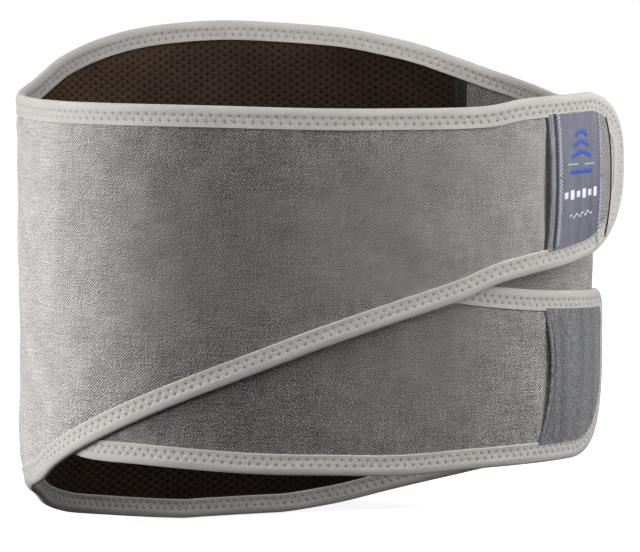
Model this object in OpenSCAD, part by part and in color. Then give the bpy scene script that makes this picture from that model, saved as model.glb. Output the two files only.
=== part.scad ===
// Lumbar support belt, closed in an oval as if worn: a knit belt with a tall back
// panel holding four flat stays, two crossing front flaps that close over an
// under-wing, a hand strap and a finger pocket on the flap ends.
// Millimetres. +X is the wearer's left (closing side), -Y the front, +Z up.
// z = 0 is the lowest point of the back's bottom edge.
// "left" and "right" in names are as seen from the front: left is -X, right is +X.
//
// Places on the belt are given by two distances:
//   s    walked round the outer oval from the front centre, positive towards +X
//   out  outwards from that oval

/* [Overall size] */
// Height of the back panel, bottom edge to top edge
back_height = 260; // [200:1:320]
// Half the width of the outer oval, side to side
half_width = 147.3; // [120:0.1:180]
// Half the depth of the outer oval, front to back
half_depth = 106.3; // [85:0.1:135]
// How square the oval is (2 is an ellipse)
oval_power = 2.45; // [2:0.05:3]

/* [Fabric] */
// Thickness of the outer knit layer
knit_t = 1.4; // [0.8:0.1:1.8]
// Thickness of one whole padded panel, knit and lining
panel_t = 2.8; // [2.4:0.1:3.2]
// Radial step from one crossing layer down to the next
layer_step = 4.6; // [4.4:0.1:5.5]
// Width of the folded edge binding seen on each face
tape_w = 10; // [8:0.5:12]
// Thickness of the folded edge binding
tape_t = 0.6; // [0.4:0.1:0.8]

/* [Hinge lines] */
// Side seam on the -X side, where the front yoke swings open
seam_left_s = -258; // [-266:1:-245]
// Line where the upper flap folds away from the lower flap
fold_s = -172; // [-180:1:-160]
// Side seam on the +X side, where the under-wing swings open
seam_right_s = 205; // [190:1:215]
// Radius of the soft cord that fills each seam
cord_r = 1.3; // [1:0.1:1.5]
// Gap kept free on each side of a seam line
seam_gap = 1.7; // [1.5:0.1:2.5]

/* [Flap ends] */
// How far round the oval the upper flap reaches
upper_end_s = 149.5; // [140:0.5:155]
// How far round the oval the lower flap reaches
lower_end_s = 158; // [150:0.5:162]
// How far round the oval, past the front centre, the under-wing reaches
wing_end_s = -62; // [-90:1:-20]

/* [Stays] */
// Width of one flat stay
stay_w = 12; // [8:0.5:14]
// Thickness of one flat stay
stay_t = 1.4; // [1:0.1:1.8]
// Distance from the back centre to the inner pair of stays
stay_in = 36; // [25:1:45]
// Distance from the back centre to the outer pair of stays
stay_out = 84; // [65:1:95]

/* [Hand strap and pocket] */
// How far the strap, its label and the pocket stand off at mid-height
bow = 2.2; // [0:0.1:3]

/* [Hidden] */
$fn = 48;
oval_centre = [4.43, -0.88];    // puts the middle of the bounding box on the origin
back_s = 415.7;                 // back centre
turn = 831.35;                  // once round the outer oval
height_scale = back_height / 260;   // the height tables are for a 260 mm back

tape_gap = 0.15;                // fabric to binding
edge_in = tape_t + tape_gap + 0.35; // fabric edge inside the binding edge
cord_out = -0.3;                // cord centres lie just inside the outer face
lower_out = -layer_step;        // outer faces of the crossing layers
wing_out = -2 * layer_step;

// [outer, inner] faces of each layer, outwards from the panel's outer face
knit_layer = [0, -knit_t];
lining_layer = [-knit_t - 0.1, -panel_t];
seam_tape_layer = [-panel_t - 0.15, -panel_t - 0.75];
hook_layer = [-panel_t - 0.1, -panel_t - 0.9];

knit_grey = [0.50, 0.50, 0.51];
knit_light = [0.62, 0.62, 0.62];
lining_brown = [0.22, 0.18, 0.17];
binding_grey = [0.78, 0.76, 0.73];
blue_grey = [0.50, 0.56, 0.66];
steel = [0.72, 0.73, 0.75];
dark = [0.15, 0.15, 0.17];

// ---- small helpers ----
function clamp01(x) = min(1, max(0, x));
function ease(x) = let (u = clamp01(x)) u * u * (3 - 2 * u);
function unit(v) = v / norm(v);
function signed_pow(x, power) = sign(x) * pow(abs(x), power);
function reversed(list) = [for (i = [len(list) - 1 : -1 : 0]) list[i]];
function steps(from, to, n) = [for (i = [0 : n]) from + (to - from) * i / n];
// stations round a rounded end, closing up towards its tip
function end_steps(from, run, n, first = 1) =
    [for (i = [first : n]) from + run * sin(90 * i / n)];

// ---- the outer oval; angles run from the front towards +X ----
function oval(angle) =
    let (radius = pow(pow(abs(sin(angle)) / half_width, oval_power)
                    + pow(abs(cos(angle)) / half_depth, oval_power), -1 / oval_power))
    [radius * sin(angle), -radius * cos(angle)];
function oval_normal(angle) =
    let (p = oval(angle))
    unit([signed_pow(p[0] / half_width, oval_power - 1) / half_width,
          signed_pow(p[1] / half_depth, oval_power - 1) / half_depth]);

// [angle, distance walked], then [s, angle] to look an angle up from s
first_angle = -114;
last_angle = 258;
angle_step = 2;
walk = [for (a = first_angle, walked = 0; a <= last_angle;
             walked = walked + norm(oval(a + angle_step) - oval(a)), a = a + angle_step)
        [a, walked]];
walked_to_front = lookup(0, walk);
angle_table = [for (w = walk) [w[1] - walked_to_front, w[0]]];
function angle_at(s) = lookup(s, angle_table);

// point on the belt; past free_from the path leaves the oval for an arc of spring_r
never_free = 2000;
spring_r = 170;
function belt_point(s, out, free_from = never_free) =
    s <= free_from
    ? let (angle = angle_at(s)) oval_centre + oval(angle) + out * oval_normal(angle)
    : let (angle = angle_at(free_from),
           n = oval_normal(angle),
           bend = (s - free_from) / spring_r * 180 / PI)
      oval_centre + oval(angle) - spring_r * n
      + (spring_r + out) * [n[0] * cos(bend) - n[1] * sin(bend),
                            n[0] * sin(bend) + n[1] * cos(bend)];

// ---- edge heights: [s, z] stations, smoothly joined ----
ring_top = [
    [200, 222], [226, 223], [253, 227], [279, 233], [301, 240], [322, 247],
    [343, 252], [365, 256], [408, 259.3], [430, 260], [452, 259], [476, 256.5],
    [500, 251.5], [527, 243], [545, 235], [556, 231], [580, 227], [620, 225],
    [664, 224.5]];
ring_bottom = [
    [200, 47], [240, 36], [300, 19.5], [343, 9], [364, 4.2], [386, 1],
    [398, 0], [404, 0], [446, 0], [452, 0], [476, 2.4], [515, 8], [530, 11],
    [548, 17], [560, 23.5], [590, 31], [635, 41.5], [652, 50], [666, 57]];
upper_top = [
    [-180, 224.5], [-130, 224.2], [-90, 223.6], [-37, 222], [3, 221.5],
    [35, 221.5], [51, 222.2], [70, 225], [101, 226.6], [115, 227.2]];
upper_bottom = [
    [-180, 49.5], [-165, 57], [-121, 77.5], [-91, 90], [-63, 100.5],
    [-37, 109.7], [-2, 120.3], [35, 130.5], [54, 137], [74, 141], [96, 144],
    [112, 147]];
lower_top = [
    [-202, 206], [-150, 205], [-115, 198], [-80, 182], [-40, 164], [0, 148.5],
    [30, 140], [58, 135.6], [86, 132.7], [130, 130]];
lower_bottom = [
    [-202, 70], [-188, 68], [-174, 59], [-160, 56], [-122, 55], [-62, 51],
    [-35, 49.8], [5, 48], [45, 49], [112, 49]];
wing_top = [[-90, 203], [-30, 205], [40, 210], [100, 214], [165, 219], [212, 222.5]];
wing_bottom = [[-90, 75], [-30, 72], [40, 68], [100, 64], [165, 57.5], [212, 44]];

function slope(table, i) =
    let (a = table[max(0, i - 1)], b = table[min(len(table) - 1, i + 1)])
    (b[1] - a[1]) / (b[0] - a[0]);
// cubic through the stations; level past either end
function joined(table, s) =
    let (passed = [for (k = [0 : len(table) - 1]) if (table[k][0] <= s) k],
         i = min(len(table) - 2, max(concat([0], passed))),
         gap = table[i + 1][0] - table[i][0],
         u = clamp01((s - table[i][0]) / gap))
    (2 * u * u * u - 3 * u * u + 1) * table[i][1]
    + (u * u * u - 2 * u * u + u) * gap * slope(table, i)
    + (3 * u * u - 2 * u * u * u) * table[i + 1][1]
    + (u * u * u - u * u) * gap * slope(table, i + 1);

// The back and side panels and the yoke share one pair of edges, the ring.
function ring_z1(s) = height_scale * joined(ring_top, s);
function ring_z0(s) = height_scale * max(0, joined(ring_bottom, s));
// the side panel steps in to meet the under-wing
function ring_out(s) = wing_out * ease((300 - s) / 72);

// Height of an edge that turns in at a rounded end. "past" is the distance beyond
// the start of the turn, run and rise its size (rise is negative on a top edge),
// end_slope the slope kept past the last station.
function end_z(table, s, past, run, rise, end_slope = 0) =
    let (x = clamp01(past / run))
    height_scale * (joined(table, s)
                    + end_slope * max(0, s - table[len(table) - 1][0])
                    + rise * (1 - sqrt(max(0, 1 - x * x))));

// ---- builders ----
// closed sweep of equal sections; caps are triangles of a section's corners
module sweep(sections, caps) {
    m = len(sections[0]);
    last = len(sections) - 1;
    polyhedron(
        points = [for (section = sections) each section],
        faces = concat(
            caps,
            [for (c = caps) [last * m + c[2], last * m + c[1], last * m + c[0]]],
            [for (i = [0 : last - 1], j = [0 : m - 1])
                let (k = (j + 1) % m)
                each [[i * m + k, i * m + j, (i + 1) * m + j],
                      [i * m + k, (i + 1) * m + j, (i + 1) * m + k]]]),
        convexity = 8);
}

// fabric sheet: columns are [s, bottom z, top z, out of the panel's outer face],
// s increasing; layer is [outer, inner]
module sheet(columns, layer, free_from = never_free)
    sweep([for (c = columns)
              let (p = belt_point(c[0], c[3] + layer[0], free_from),
                   q = belt_point(c[0], c[3] + layer[1], free_from))
              [[p[0], p[1], c[1]], [p[0], p[1], c[2]],
               [q[0], q[1], c[2]], [q[0], q[1], c[1]]]],
          [[0, 1, 2], [0, 2, 3]]);

// binding section: [inwards from the edge, outwards from the outer face]
tape_hi = tape_gap + tape_t;
tape_lo = -panel_t - tape_gap - tape_t;
u_profile = [[tape_w, tape_hi], [0, tape_hi], [0, tape_lo], [tape_w, tape_lo],
             [tape_w, tape_lo + tape_t], [tape_t, tape_lo + tape_t],
             [tape_t, tape_hi - tape_t], [tape_w, tape_hi - tape_t]];
u_caps = [[0, 1, 6], [0, 6, 7], [1, 2, 5], [1, 5, 6], [2, 3, 4], [2, 4, 5]];

// direction from an outline into the fabric; upright at both ends, so that the
// binding is cut square to the belt
function inward(outline, i, side) =
    let (last = len(outline) - 1,
         along = unit(outline[min(last, i + 1)] - outline[max(0, i - 1)]),
         v = side * [-along[1], along[0]])
    (i == 0 || i == last) ? [0, sign(v[1])] : v;

// folded binding along an outline of [s, z]; side is 1 with the fabric to the left
// of travel (s to the right, z up) and -1 with it to the right. on_ring makes it
// follow ring_out in place of out.
module binding(outline, side, out = 0, free_from = never_free, on_ring = false) {
    profile = side > 0 ? reversed(u_profile) : u_profile;
    caps = side > 0 ? [for (c = u_caps) [7 - c[2], 7 - c[1], 7 - c[0]]] : u_caps;
    sweep([for (i = [0 : len(outline) - 1])
              let (v = inward(outline, i, side))
              [for (k = profile)
                  let (s = outline[i][0] + k[0] * v[0],
                       p = belt_point(s, (on_ring ? ring_out(s) : out) + k[1], free_from))
                  [p[0], p[1], outline[i][1] + k[0] * v[1]]]],
          caps);
}

// thin band bowed outwards at mid-height: columns are [s, bottom z, top z];
// dip draws the first column in at mid-height, fading to none at the last
module bowed(columns, out, thick, dip = 0, free_from = never_free) {
    rows = 10;
    last = len(columns) - 1;
    w = rows + 1;
    inner = (last + 1) * w;     // index of the first inner point
    function bulge(j) = 1 - pow(2 * j / rows - 1, 2);
    function face_points(face_out) =
        [for (i = [0 : last], j = [0 : rows])
            let (c = columns[i],
                 p = belt_point(c[0] + dip * bulge(j) * (1 - i / last),
                                face_out + bow * bulge(j), free_from))
            [p[0], p[1], c[1] + (c[2] - c[1]) * j / rows]];
    outer_faces = [for (i = [0 : last - 1], j = [0 : rows - 1])
        let (a = i * w + j, b = a + w)
        each [[a, a + 1, b + 1], [a, b + 1, b]]];
    rim = concat([for (j = [0 : rows - 1]) j],
                 [for (i = [0 : last - 1]) i * w + rows],
                 [for (j = [rows : -1 : 1]) last * w + j],
                 [for (i = [last : -1 : 1]) i * w]);
    polyhedron(
        points = concat(face_points(out + thick), face_points(out)),
        faces = concat(
            outer_faces,
            [for (f = outer_faces) [inner + f[0], inner + f[2], inner + f[1]]],
            [for (k = [0 : len(rim) - 1])
                let (a = rim[k], b = rim[(k + 1) % len(rim)])
                each [[a, inner + a, b], [b, inner + a, inner + b]]]),
        convexity = 6);
}

// upright cord at s, as tall as the ring at ring_s less 1 mm at each end
module cord(s, out, ring_s) {
    p = belt_point(s, out);
    z0 = ring_z0(ring_s) + 1;
    z1 = ring_z1(ring_s) - 1;
    translate([p[0], p[1], z0]) cylinder(r = cord_r, h = z1 - z0);
}

// ---- back and side panels ----
panel_joint_s = 301;            // where the back meets the side panel
ring_from = seam_right_s + seam_gap;
ring_to = seam_left_s + turn - seam_gap;
ring_s = steps(ring_from, ring_to, 62);
function ring_columns(stations, inset = edge_in) =
    [for (s = stations) [s, ring_z0(s) + inset, ring_z1(s) - inset, ring_out(s)]];
back_columns = ring_columns(steps(panel_joint_s, ring_to, 44));
side_columns = ring_columns(steps(ring_from, panel_joint_s - 0.2, 20));
seam_tape_s = steps(panel_joint_s - 4.6, panel_joint_s + 4.4, 2);

module back_shell() color(knit_grey) sheet(back_columns, knit_layer);
module back_lining() color(lining_brown) sheet(back_columns, lining_layer);
module side_panel_shell() color(knit_grey) sheet(side_columns, knit_layer);
module side_panel_lining() color(knit_light) sheet(side_columns, lining_layer);
module lining_seam_tape() color(dark)
    sheet(ring_columns(seam_tape_s, tape_w + 2.5), seam_tape_layer);
module back_top_binding() color(binding_grey)
    binding([for (s = ring_s) [s, ring_z1(s)]], -1, on_ring = true);
module back_bottom_binding() color(binding_grey)
    binding([for (s = ring_s) [s, ring_z0(s)]], 1, on_ring = true);
module left_seam_cord() color(binding_grey)
    cord(seam_left_s, cord_out, seam_left_s + turn);
module right_seam_cord() color(binding_grey)
    cord(seam_right_s, wing_out + cord_out, seam_right_s);

// ---- stays: flat springs in knit pockets on the outside of the back ----
stay_s = [back_s - stay_out, back_s - stay_in, back_s + stay_in, back_s + stay_out];
pocket_reach = 13;              // half width in which a pocket clears the bindings
pocket_clear = tape_w + 2;      // pocket end to panel edge
stay_inset = 11;                // stay end inside the pocket end
tip_inset = 7;                  // centre of the round tip inside the pocket end
tip_cut = 3.8;                  // tip centre to its flat, facing the stay
tip_t = 1.95;
// pocket section: [along s, out], a raised channel between two sewn edges
pocket_profile = [
    [-12, 0.15], [-12, 0.95], [-9.8, 0.95], [-7.4, 3.3], [-3.7, 3.35], [0, 3.4],
    [3.7, 3.35], [7.4, 3.3], [9.8, 0.95], [12, 0.95], [12, 0.15], [9.1, 0.15],
    [6.9, 2.6], [0, 2.7], [-6.9, 2.6], [-9.1, 0.15]];

function pocket_z0(k) = pocket_clear
    + max(ring_z0(stay_s[k] - pocket_reach), ring_z0(stay_s[k] + pocket_reach));
function pocket_z1(k) = -pocket_clear
    + min(ring_z1(stay_s[k] - pocket_reach), ring_z1(stay_s[k] + pocket_reach));

module stay_pocket(k)
    translate([0, 0, pocket_z0(k)])
        linear_extrude(pocket_z1(k) - pocket_z0(k))
            polygon([for (p = pocket_profile) belt_point(stay_s[k] + p[0], p[1])]);
// turns local +Y to point outwards at stay k
module at_stay(k) {
    p = belt_point(stay_s[k], 0.55);
    n = oval_normal(angle_at(stay_s[k]));
    translate([p[0], p[1], 0]) rotate([0, 0, atan2(n[1], n[0]) - 90]) children();
}
module stay(k)
    at_stay(k)
        translate([-stay_w / 2, 0, pocket_z0(k) + stay_inset])
            cube([stay_w, stay_t, pocket_z1(k) - pocket_z0(k) - 2 * stay_inset]);
module stay_tip(k, upper)
    at_stay(k)
        translate([0, 1.75, upper ? pocket_z1(k) - tip_inset : pocket_z0(k) + tip_inset])
            rotate([90, 0, 0])
                linear_extrude(tip_t) difference() {
                    circle(r = stay_w / 2);
                    translate([-stay_w, upper ? -stay_w - tip_cut : tip_cut])
                        square([2 * stay_w, stay_w]);
                }

module stay_pocket_1() color(knit_grey) stay_pocket(0);
module stay_pocket_2() color(knit_grey) stay_pocket(1);
module stay_pocket_3() color(knit_grey) stay_pocket(2);
module stay_pocket_4() color(knit_grey) stay_pocket(3);
module stay_1() color(steel) stay(0);
module stay_2() color(steel) stay(1);
module stay_3() color(steel) stay(2);
module stay_4() color(steel) stay(3);
module stay_tips() color(dark)
    for (k = [0 : 3]) {
        stay_tip(k, true);
        stay_tip(k, false);
    }

// ---- yoke: the part both flaps grow from, between the -X seam and the fold ----
yoke_s = steps(seam_left_s + seam_gap, fold_s - seam_gap, 14);
yoke_columns = [for (s = yoke_s)
    [s, ring_z0(s + turn) + edge_in, ring_z1(s + turn) - edge_in, 0]];

module yoke_shell() color(knit_grey) sheet(yoke_columns, knit_layer);
module yoke_lining() color(knit_light) sheet(yoke_columns, lining_layer);
module yoke_top_binding() color(binding_grey)
    binding([for (s = yoke_s) [s, ring_z1(s + turn)]], -1);
module yoke_bottom_binding() color(binding_grey)
    binding([for (s = yoke_s) [s, ring_z0(s + turn)]], 1);
module fold_cord() color(binding_grey) cord(fold_s, cord_out, fold_s + turn);

// Flap and wing heights take "trim", how far the edge is cut back for the fabric.
// A bottom binding resumes this far beyond its rounded end:
after_turn = 7;
// [offset along an edge, how far the binding reaches in from it there]
reach = [for (d = [-10.5 : 1.5 : 10.5]) [d, sqrt(pow(tape_w + 1.2, 2) - d * d)]];

// ---- lower flap: under the upper flap, starting inside the yoke ----
lower_top_turn = 20;            // run and rise of the top corner
lower_bottom_turn = 48;         // run of the bottom corner
lower_bottom_rise = 56;
lower_top_s = lower_end_s - lower_top_turn;         // where the corners begin
lower_bottom_s = lower_end_s - lower_bottom_turn;
function lower_z1(s, trim = 0) =
    let (size = lower_top_turn - trim)
    end_z(lower_top, s, s - lower_top_s, size, -size) - trim;
function lower_z0(s, trim = 0) =
    end_z(lower_bottom, s, s - lower_bottom_s,
          lower_bottom_turn - trim, lower_bottom_rise - trim) + trim;
// from just inside the yoke down to the lower layer
yoke_inside = -panel_t - 0.4;
function lower_face(s) = yoke_inside + (lower_out - yoke_inside) * ease((s + 190) / 16);
lower_columns = [for (s = concat(steps(-200, lower_bottom_s, 42),
                                 steps(lower_bottom_s + 4, lower_top_s, 6),
                                 end_steps(lower_top_s, lower_top_turn - edge_in, 9)))
    [s, lower_z0(s, edge_in), lower_z1(s, edge_in), lower_face(s)]];
// heights just clear of the binding's inner border
function lower_clear_z0(s) =
    max([for (r = reach) if (s + r[0] <= lower_end_s) lower_z0(s + r[0]) + r[1]]);
function lower_clear_z1(s) =
    min([for (r = reach) if (s + r[0] <= lower_end_s) lower_z1(s + r[0]) - r[1]]);

module lower_flap_shell() color(knit_grey) sheet(lower_columns, knit_layer);
module lower_flap_lining() color(knit_light) sheet(lower_columns, lining_layer);
module lower_flap_binding() color(binding_grey)
    binding(concat(
                [for (s = concat(steps(fold_s, lower_top_s, 40),
                                 end_steps(lower_top_s, lower_top_turn, 8)))
                    [s, lower_z1(s)]],
                [for (s = concat(
                        reversed(end_steps(lower_bottom_s, lower_bottom_turn, 10, 0)),
                        steps(lower_bottom_s - after_turn, fold_s, 38)))
                    [s, lower_z0(s)]]),
            -1, lower_out);
module lower_flap_hook() color(dark)
    sheet([for (s = steps(84, 138, 12))
              [s, max(height_scale * 63, lower_clear_z0(s) + 1),
               min(height_scale * 116, lower_clear_z1(s) - 1), lower_out]],
          hook_layer);

// ---- upper flap: the outermost layer, slanted, springing free at its end ----
upper_turn = 38;                // run of both corners
upper_top_rise = 31;
upper_bottom_rise = 33;
upper_turn_s = upper_end_s - upper_turn;
upper_free_s = 70;
upper_from = fold_s + seam_gap;
function upper_z1(s, trim = 0) =
    end_z(upper_top, s, s - upper_turn_s,
          upper_turn - trim, -(upper_top_rise - trim)) - trim;
function upper_z0(s, trim = 0) =
    end_z(upper_bottom, s, s - upper_turn_s,
          upper_turn - trim, upper_bottom_rise - trim, end_slope = 0.18) + trim * 1.05;
upper_columns = [for (s = concat(steps(upper_from, upper_turn_s, 40),
                                 end_steps(upper_turn_s, upper_turn - edge_in, 10)))
    [s, upper_z0(s, edge_in), upper_z1(s, edge_in), 0]];
function upper_clear_z0(s) =
    max([for (r = reach) if (s + r[0] <= upper_end_s) upper_z0(s + r[0]) + r[1]]);
function upper_clear_z1(s) =
    min([for (r = reach) if (s + r[0] <= upper_end_s) upper_z1(s + r[0]) - r[1]]);

module upper_flap_shell() color(knit_grey)
    sheet(upper_columns, knit_layer, upper_free_s);
module upper_flap_lining() color(knit_light)
    sheet(upper_columns, lining_layer, upper_free_s);
module upper_flap_binding() color(binding_grey)
    binding(concat(
                [for (s = concat(steps(upper_from, upper_turn_s, 40),
                                 end_steps(upper_turn_s, upper_turn, 9)))
                    [s, upper_z1(s)]],
                [for (s = concat(reversed(end_steps(upper_turn_s, upper_turn, 9, 0)),
                                 steps(upper_turn_s - after_turn, upper_from, 38)))
                    [s, upper_z0(s)]]),
            -1, free_from = upper_free_s);
module upper_flap_hook() color(dark)
    sheet([for (s = steps(84, 136, 12))
              [s, max(height_scale * 163, upper_clear_z0(s) + 1),
               min(height_scale * 212, upper_clear_z1(s) - 1), 0]],
          hook_layer, upper_free_s);

// ---- under-wing: the innermost layer, from the +X seam across the front ----
wing_turn = 30;                 // run and rise of both corners
wing_turn_s = wing_end_s + wing_turn;
wing_from = seam_right_s - seam_gap;
function wing_z1(s, trim = 0) =
    let (size = wing_turn - trim)
    end_z(wing_top, s, wing_turn_s - s, size, -size) - trim;
function wing_z0(s, trim = 0) =
    let (size = wing_turn - trim)
    end_z(wing_bottom, s, wing_turn_s - s, size, size) + trim;
wing_columns = [for (s = concat(reversed(end_steps(wing_turn_s, edge_in - wing_turn, 9)),
                                steps(wing_turn_s, wing_from, 34)))
    [s, wing_z0(s, edge_in), wing_z1(s, edge_in), wing_out]];

module wing_shell() color(knit_grey) sheet(wing_columns, knit_layer);
module wing_lining() color(knit_light) sheet(wing_columns, lining_layer);
module wing_binding() color(binding_grey)
    binding(concat(
                [for (s = concat(steps(wing_from, wing_turn_s, 34),
                                 end_steps(wing_turn_s, -wing_turn, 9)))
                    [s, wing_z1(s)]],
                [for (s = concat(reversed(end_steps(wing_turn_s, -wing_turn, 9, 0)),
                                 steps(wing_turn_s + after_turn, wing_from, 33)))
                    [s, wing_z0(s)]]),
            1, wing_out);

// ---- strap and label on the upper flap, finger pocket on the lower flap ----
function upper_band(from, to, n) =
    [for (s = steps(from, to, n)) [s, upper_clear_z0(s), upper_clear_z1(s)]];
function lower_band(from, to, n) =
    [for (s = steps(from, to, n)) [s, lower_clear_z0(s), lower_clear_z1(s)]];

module hand_strap() color(knit_grey)
    bowed(upper_band(86, 137, 12), out = 0.4, thick = 1.0, free_from = upper_free_s);
module woven_label() color(blue_grey)
    bowed(upper_band(90.6, 123.5, 10), out = 1.7, thick = 0.5, free_from = upper_free_s);
module finger_pocket() color(blue_grey)
    bowed(lower_band(85, 146, 13), out = lower_out + 0.4, thick = 1.2, dip = 7);

back_shell();
back_lining();
side_panel_shell();
side_panel_lining();
lining_seam_tape();
back_top_binding();
back_bottom_binding();
left_seam_cord();
right_seam_cord();
stay_pocket_1();
stay_pocket_2();
stay_pocket_3();
stay_pocket_4();
stay_1();
stay_2();
stay_3();
stay_4();
stay_tips();
yoke_shell();
yoke_lining();
yoke_top_binding();
yoke_bottom_binding();
fold_cord();
lower_flap_shell();
lower_flap_lining();
lower_flap_binding();
lower_flap_hook();
upper_flap_shell();
upper_flap_lining();
upper_flap_binding();
upper_flap_hook();
wing_shell();
wing_lining();
wing_binding();
hand_strap();
woven_label();
finger_pocket();
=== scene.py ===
import bpy
import math
import numpy as np
from mathutils import Matrix, Vector


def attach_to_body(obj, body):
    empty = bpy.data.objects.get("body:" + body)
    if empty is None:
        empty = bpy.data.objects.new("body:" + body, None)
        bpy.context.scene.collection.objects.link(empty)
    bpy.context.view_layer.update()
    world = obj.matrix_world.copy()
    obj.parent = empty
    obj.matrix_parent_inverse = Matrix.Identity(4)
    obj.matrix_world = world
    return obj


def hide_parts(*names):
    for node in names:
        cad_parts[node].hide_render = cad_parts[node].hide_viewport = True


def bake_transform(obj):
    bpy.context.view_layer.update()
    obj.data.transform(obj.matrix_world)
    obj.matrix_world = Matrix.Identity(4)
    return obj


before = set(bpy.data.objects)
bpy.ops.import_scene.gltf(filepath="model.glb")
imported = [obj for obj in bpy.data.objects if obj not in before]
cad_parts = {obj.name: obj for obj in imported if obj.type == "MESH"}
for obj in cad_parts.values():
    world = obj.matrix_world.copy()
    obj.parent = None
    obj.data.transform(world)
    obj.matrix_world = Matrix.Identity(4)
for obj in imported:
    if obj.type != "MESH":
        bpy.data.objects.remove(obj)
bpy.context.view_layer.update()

# ------------------------------------------------------------------ the oval
# Same plan as the CAD part: S is the distance walked round the outer oval (mm),
# o the distance outwards from it. The main strip runs unrolled from the wing's
# end at S = -62, round the back, to the upper flap's end past S = 980.
HW, HD, PW = 147.3, 106.3, 2.45
OX, OY = 4.43, -0.88
PANEL, STEP, TAPE = 2.8, 4.6, 10.0


def _oval(a):
    s, c = np.sin(a), np.cos(a)
    r = (np.abs(s / HW) ** PW + np.abs(c / HD) ** PW) ** (-1 / PW)
    return r * s, -r * c


def _oval_n(a):
    x, y = _oval(a)
    gx = np.sign(x) * np.abs(x / HW) ** (PW - 1) / HW
    gy = np.sign(y) * np.abs(y / HD) ** (PW - 1) / HD
    g = np.hypot(gx, gy)
    return gx / g, gy / g


_A = np.radians(np.arange(-116, 262.01, 0.25))
_px, _py = _oval(_A)
_L = np.r_[0, np.cumsum(np.hypot(np.diff(_px), np.diff(_py)))]
_L -= np.interp(0, _A, _L)
_full = np.radians(np.arange(0, 360.01, 0.25))
_fx, _fy = _oval(_full)
TURN = float(np.hypot(np.diff(_fx), np.diff(_fy)).sum())
UP_ST, UP_RE = 70.0, 170.0


def _frame(S):
    S = np.asarray(S, float)
    s = np.where(S > 570, S - TURN, S)
    far = (S > 570) & (s > UP_ST)
    a = np.interp(np.where(far, UP_ST, s), _L, _A)
    x, y = _oval(a)
    nx, ny = _oval_n(a)
    b = np.where(far, (s - UP_ST) / UP_RE, 0.0)
    mx = nx * np.cos(b) - ny * np.sin(b)
    my = nx * np.sin(b) + ny * np.cos(b)
    bx = np.where(far, x - UP_RE * nx + UP_RE * mx, x) + OX
    by = np.where(far, y - UP_RE * ny + UP_RE * my, y) + OY
    return bx, by, mx, my


def P(S, o, z):
    """Points in mm at distance S, offset o, height z."""
    S, o, z = np.broadcast_arrays(np.asarray(S, float), np.asarray(o, float), np.asarray(z, float))
    x, y, nx, ny = _frame(S)
    return np.stack([x + o * nx, y + o * ny, z], -1)


def N(S):
    x, y, nx, ny = _frame(S)
    return np.stack([nx, ny, np.zeros_like(nx)], -1)


def joined(T, s):
    T = np.asarray(T, float)
    x, z = T[:, 0], T[:, 1]
    m = np.empty(len(x))
    m[1:-1] = (z[2:] - z[:-2]) / (x[2:] - x[:-2])
    m[0] = (z[1] - z[0]) / (x[1] - x[0])
    m[-1] = (z[-1] - z[-2]) / (x[-1] - x[-2])
    s = np.asarray(s, float)
    i = np.clip(np.searchsorted(x, s, side="right") - 1, 0, len(x) - 2)
    h = x[i + 1] - x[i]
    u = np.clip((s - x[i]) / h, 0, 1)
    return ((2 * u**3 - 3 * u**2 + 1) * z[i] + (u**3 - 2 * u**2 + u) * h * m[i]
            + (3 * u**2 - 2 * u**3) * z[i + 1] + (u**3 - u**2) * h * m[i + 1])


ring_top = [[200, 222], [226, 223], [253, 227], [279, 233], [301, 240], [322, 247],
            [343, 252], [365, 256], [408, 259.3], [430, 260], [452, 259], [476, 256.5],
            [500, 251.5], [527, 243], [545, 235], [556, 231], [580, 227], [620, 225], [664, 224.5]]
ring_bottom = [[200, 47], [240, 36], [300, 19.5], [343, 9], [364, 4.2], [386, 1],
               [398, 0], [404, 0], [446, 0], [452, 0], [476, 2.4], [515, 8], [530, 11], [548, 17],
               [560, 23.5], [590, 31], [635, 41.5], [652, 50], [666, 57]]
upper_top = [[-180, 224.5], [-130, 224.2], [-90, 223.6], [-37, 222], [3, 221.5], [35, 221.5],
             [51, 222.2], [70, 225], [101, 226.6], [115, 227.2]]
upper_bottom = [[-180, 49.5], [-165, 57], [-121, 77.5], [-91, 90], [-63, 100.5],
                [-37, 109.7], [-2, 120.3], [35, 130.5], [54, 137], [74, 141], [96, 144], [112, 147]]
lower_top = [[-202, 206], [-150, 205], [-115, 198], [-80, 182], [-40, 164], [0, 148.5],
             [30, 140], [58, 135.6], [86, 132.7], [130, 130]]
lower_bottom = [[-202, 70], [-188, 68], [-174, 59], [-160, 56], [-122, 55], [-62, 51],
                [-35, 49.8], [5, 48], [45, 49], [112, 49]]
wing_top = [[-90, 203], [-30, 205], [40, 210], [100, 214], [165, 219], [212, 222.5]]
wing_bottom = [[-90, 75], [-30, 72], [40, 68], [100, 64], [165, 57.5], [212, 44]]

WING_END, UP_END, LO_END = -62.0, 149.5, 158.0
WING_SC, UP_SC, LO_SC_T, LO_SC_B = WING_END + 30, UP_END - 38, LO_END - 20, LO_END - 48
S_END = TURN + UP_END


def rin(x):
    x = np.clip(x, 0, 1)
    return 1 - np.sqrt(np.maximum(0, 1 - x * x))


def ease(x):
    u = np.clip(x, 0, 1)
    return u * u * (3 - 2 * u)


def z_top(S):
    S = np.asarray(S, float)
    s = S - TURN
    wing = joined(wing_top, S) - 30 * rin((WING_SC - S) / 30)
    ring = joined(ring_top, S)
    up = joined(upper_top, s) - 31 * rin((s - UP_SC) / 38)
    a, b = ease((S - 198) / 14), ease((s + 182) / 20)
    return (wing * (1 - a) + ring * a) * (1 - b) + up * b


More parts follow.
